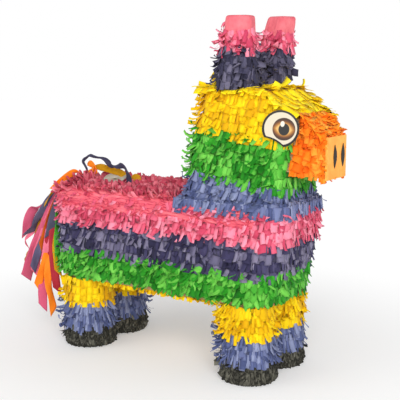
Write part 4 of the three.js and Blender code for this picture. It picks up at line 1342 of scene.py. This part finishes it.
# The tail's streamers: CAD node or None, colour, width, twists, and the X, Y and Z that each passes through
STREAMERS = [
    ("tail_streamer_pink_low", "rose", 17, (0.6, 0.3, 0.2, -0.1, 0.1),
     [(-227, -14, 284), (-250, -28, 240), (-264, -40, 194), (-261, -56, 130), (-267, -60, 88),
      (-269, -60, 46)]),
    ("tail_streamer_pink_long", "rose", 26, (0.9, 0.5, 0.1, -0.1, 0.3, 0.5),
     [(-227, -9, 284), (-250, -22, 252), (-268, -34, 213), (-274, -42, 189), (-290, -46, 160),
      (-306, -48, 128), (-321, -48, 92)]),
    ("tail_streamer_pink_wide", "rose", 18, (0.8, 0.9, 1.3, 1.2, 0.5, 0.0, 0.2),
     [(-227, -4, 284), (-258, -10, 258), (-287, -14, 234), (-303, -16, 226), (-320, -18, 221),
      (-331, -20, 209), (-338, -22, 192), (-342, -22, 167)]),
    ("tail_streamer_orange", "orange", 14, (0.5, 0.8, 0.6, 0.2, 0.0, 0.8, 0.4),
     [(-227, -4, 284), (-244, -20, 232), (-252, -40, 190), (-247, -62, 145), (-246, -68, 102),
      (-241, -66, 69), (-238, -64, 44)]),
    ("tail_streamer_purple", "purple", 27, (0.6, 0.1, 0.0, 0.1, 0.7, 0.5),
     [(-227, 6, 284), (-246, -18, 262), (-262, -32, 241), (-276, -36, 222), (-296, -34, 206),
      (-311, -30, 192), (-329, -26, 173)]),
    (None, "purple", 14, (0.6, 0.1, 0.5, -0.2, 0.2),
     [(-227, -6, 283), (-246, -30, 244), (-258, -44, 208), (-258, -52, 189), (-270, -56, 167),
      (-281, -58, 143), (-295, -56, 113)]),
    (None, "rust", 11, (0.5, 0.4, 0.6, 0.2),
     [(-227, -12, 283), (-242, -38, 250), (-252, -52, 219), (-254, -58, 202), (-260, -60, 181),
      (-271, -60, 158)]),
    (None, "red", 15, (0.5, 0.2, 0.0, 0.2),
     [(-227, -2, 283), (-238, -34, 250), (-242, -50, 220), (-241, -56, 192), (-240, -60, 156),
      (-234, -63, 121), (-230, -62, 84)]),
    (None, "pink", 14, (0.4, 0.1, -0.2, 0.3),
     [(-227, -10, 282), (-240, -40, 240), (-247, -56, 203), (-250, -62, 174), (-253, -64, 152),
      (-260, -64, 131)]),
    (None, "mustard", 11, (0.6, 0.2, 0.0, 1.2, 1.5),
     [(-227, 4, 283), (-262, -6, 252), (-296, -12, 218), (-308, -18, 192), (-318, -22, 168),
      (-332, -22, 140), (-350, -18, 124), (-349, -16, 110)]),
    (None, "orange", 15, (0.6, 0.8, 0.5, 0.2, 0.6, 0.3),
     [(-227, 1, 284), (-246, -16, 236), (-256, -38, 190), (-251, -62, 150), (-260, -66, 122),
      (-278, -64, 84)]),
    (None, "red", 16, (0.4, 0.2, 0.0, 0.2),
     [(-227, 10, 282), (-238, -30, 246), (-246, -54, 206), (-250, -60, 176), (-248, -60, 140)]),
    (None, "slate", 18, (0.3, 0.1, 0.2, 0.0),
     [(-227, -14, 282), (-230, -42, 258), (-233, -55, 233), (-240, -58, 208), (-246, -60, 184)]),
    (None, "green", 11, (0.4, 0.8, 0.7, 0.6),
     [(-227, -12, 282), (-229, -46, 258), (-230, -56, 224), (-230, -58, 193), (-229, -60, 165),
      (-228, -60, 138)]),
    (None, "mustard", 12, (0.4, 0.6, 0.9, 0.4, 0.3),
     [(-227, -8, 283), (-240, -20, 246), (-240, -40, 208), (-234, -58, 172), (-231, -61, 145),
      (-227, -61, 116)]),
    (None, "pink", 11, (0.5, 0.9, 1.2, 1.5, 1.5),
     [(-227, 2, 284), (-262, -12, 244), (-296, -18, 206), (-319, -20, 179), (-335, -20, 169),
      (-346, -20, 160), (-347, -20, 152), (-342, -20, 145)]),
    (None, "pink", 17, (0.6, 0.2, 0.0, 0.2),
     [(-227, -14, 283), (-252, -28, 246), (-270, -36, 206), (-278, -46, 170), (-288, -50, 144),
      (-297, -50, 104)]),
    (None, "mustard", 11, (0.8, 1.1, 1.3, 1.3),
     [(-227, 6, 285), (-236, -30, 275), (-247, -44, 263), (-258, -44, 252), (-272, -40, 238)]),
    (None, "rose", 15, (0.4, 0.1, 0.2, 0.0),
     [(-227, -12, 283), (-240, -36, 240), (-250, -52, 200), (-254, -58, 160), (-262, -60, 116)]),
]


def shifted(points):
    return [(ORIGIN + x, y, z) for x, y, z in points]


def make_tail():
    rng = np.random.default_rng(201)
    for index, (node, colour, width, twists, points) in enumerate(STREAMERS):
        piece = ribbon(f"tail_streamer_{index + 1}_{colour}", shifted(points), width, colour, "tail",
                       rng, twists)
        if node:
            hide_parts(node)


# Ribbon ends tied at the hanging loop's foot: colour, width, twists, and the points each passes through
TIED_ENDS = [
    ("orange", 12, (0.1, 0.0, -0.1),
     [(-210, 4, 307), (-204, 4, 309), (-198, 4, 307), (-194, 4, 301), (-191, 4, 290)]),
    ("orange", 11, (0.2, 0.5, 0.8),
     [(-208, -4, 284), (-202, -4, 291), (-195, -3, 297), (-191, 0, 303)]),
    ("orange", 12, (0.9, 0.7, 0.6, 0.8),
     [(-206, -6, 283), (-206, -18, 292), (-210, -30, 297), (-216, -43, 291), (-226, -52, 280),
      (-239, -56, 267)]),
    ("mustard", 13, (0.1, 0.1, 0.3, 0.9),
     [(-199, 10, 303), (-186, 12, 303), (-173, 14, 301), (-160, 16, 298), (-144, 17, 295),
      (-130, 14, 288)]),
    ("mustard", 11, (0.3, 0.2, 0.3, 0.3),
     [(-122, 20, 282), (-116, 20, 289), (-110, 20, 290), (-103, 20, 283)]),
]


def tied_ends():
    rng = np.random.default_rng(221)
    for index, (colour, width, twists, points) in enumerate(TIED_ENDS):
        ribbon(f"loop_ribbon_{index + 1}_{colour}", shifted(points), width, colour, "carcass", rng, twists,
               ripple=0.4, cut=3.0, upright=True)


# Studio

WHITE = (1.0, 1.0, 1.0, 1.0)
FLOOR_HALF = 6.0  # metres
# Name, azimuth and elevation in degrees, watts, and the side in metres
LIGHTS = (("key", 38.0, 24.0, 34.0, 1.2), ("fill", -35.0, 30.0, 8.0, 1.5))
LIGHT_DISTANCE = 2.4  # metres, from the point below
LIT_POINT = Vector((0.0, 0.0, 0.25))
CAMERA_AT = (817, -1173, 504)  # its X is from the middle between the legs
CAMERA_AZIMUTH = math.radians(33.64)
CAMERA_PITCH = math.radians(9.6)
CAMERA_LENS = 77.9


def towards(azimuth, elevation):
    """A direction from the object: azimuth 0 is its right side, and a quarter turn on is its front."""
    return Vector((math.sin(azimuth) * math.cos(elevation), -math.cos(azimuth) * math.cos(elevation),
                   math.sin(elevation)))


def studio_world():
    """White all round at eye level, and dimmer overhead."""
    world = bpy.data.worlds.new("studio")
    world.use_nodes = True
    tree = world.node_tree
    way = add_node(tree, "TexCoord").outputs["Generated"]
    height = add_node(tree, "SeparateXYZ", {0: way}).outputs["Z"]
    dim = remap(tree, height, (0.3, 0.75), (1.0, 0.3), "SMOOTHSTEP")
    feed(tree, tree.nodes["Background"], {"Strength": dim, "Color": WHITE})
    return world


def floor_material():
    """Pale matt floor that brightens into the white surroundings away from the object."""
    material, tree, shader = new_material("studio_floor")
    here = add_node(tree, "TexCoord").outputs["Object"]
    distance = add_node(tree, "VectorMath", {0: here}, operation="LENGTH").outputs["Value"]
    fade = remap(tree, distance, (0.1, 0.75), curve="SMOOTHSTEP")
    feed(tree, shader, {
        "Base Color": remap(tree, fade, end=(0.9, 0.0)),
        "Emission Color": WHITE,
        "Emission Strength": remap(tree, fade, end=(0.16, 1.0)),
        "Roughness": 0.95,
        "Specular IOR Level": 0.1,
    })
    return material


def stage_and_camera():
    floor_mesh = bpy.data.meshes.new("studio_floor")
    ends = (-FLOOR_HALF, FLOOR_HALF)
    corners = [(ends[0], ends[0], 0), (ends[1], ends[0], 0), (ends[1], ends[1], 0), (ends[0], ends[1], 0)]
    floor_mesh.from_pydata(corners, [], [(0, 1, 2, 3)])
    floor = bpy.data.objects.new("studio_floor", floor_mesh)
    floor_mesh.materials.append(floor_material())
    bpy.context.collection.objects.link(floor)

    scene = bpy.context.scene
    scene.world = studio_world()
    scene.view_settings.view_transform = "Standard"
    for name, azimuth, elevation, energy, size in LIGHTS:
        data = bpy.data.lights.new(name, "AREA")
        data.energy = energy
        data.size = size
        light = bpy.data.objects.new(name, data)
        way = towards(math.radians(azimuth), math.radians(elevation))
        light.location = LIT_POINT + way * LIGHT_DISTANCE
        light.rotation_euler = (-way).to_track_quat("-Z", "Y").to_euler()
        bpy.context.collection.objects.link(light)

    camera_data = bpy.data.cameras.new("camera")
    camera_data.lens = CAMERA_LENS
    camera_data.sensor_width = 36.0
    camera = bpy.data.objects.new("camera", camera_data)
    camera.location = [(ORIGIN + CAMERA_AT[0]) * MM, CAMERA_AT[1] * MM, CAMERA_AT[2] * MM]
    look = -towards(CAMERA_AZIMUTH, CAMERA_PITCH)
    camera.rotation_euler = look.to_track_quat("-Z", "Y").to_euler()
    bpy.context.collection.objects.link(camera)
    scene.camera = camera


def dress_cad_nodes():
    finishes = {"nose_panel": NOSE_PAPER, "nostril_right": BLACK_PAPER, "nostril_left": BLACK_PAPER,
                "tail_knot": CREPES["orange"], "loop_tied_run": CREPES["slate"]}
    for name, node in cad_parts.items():
        node.data.materials.clear()
        node.data.materials.append(finishes.get(name, KRAFT))


stage_and_camera()
make_loop()
dress_cad_nodes()
make_body()
belly_fringe()
make_legs()
make_neck()
head_top()
make_muzzle()
make_ears()
make_back()
make_label()
edge_strips()
make_eyes()
make_tail()
tied_ends()
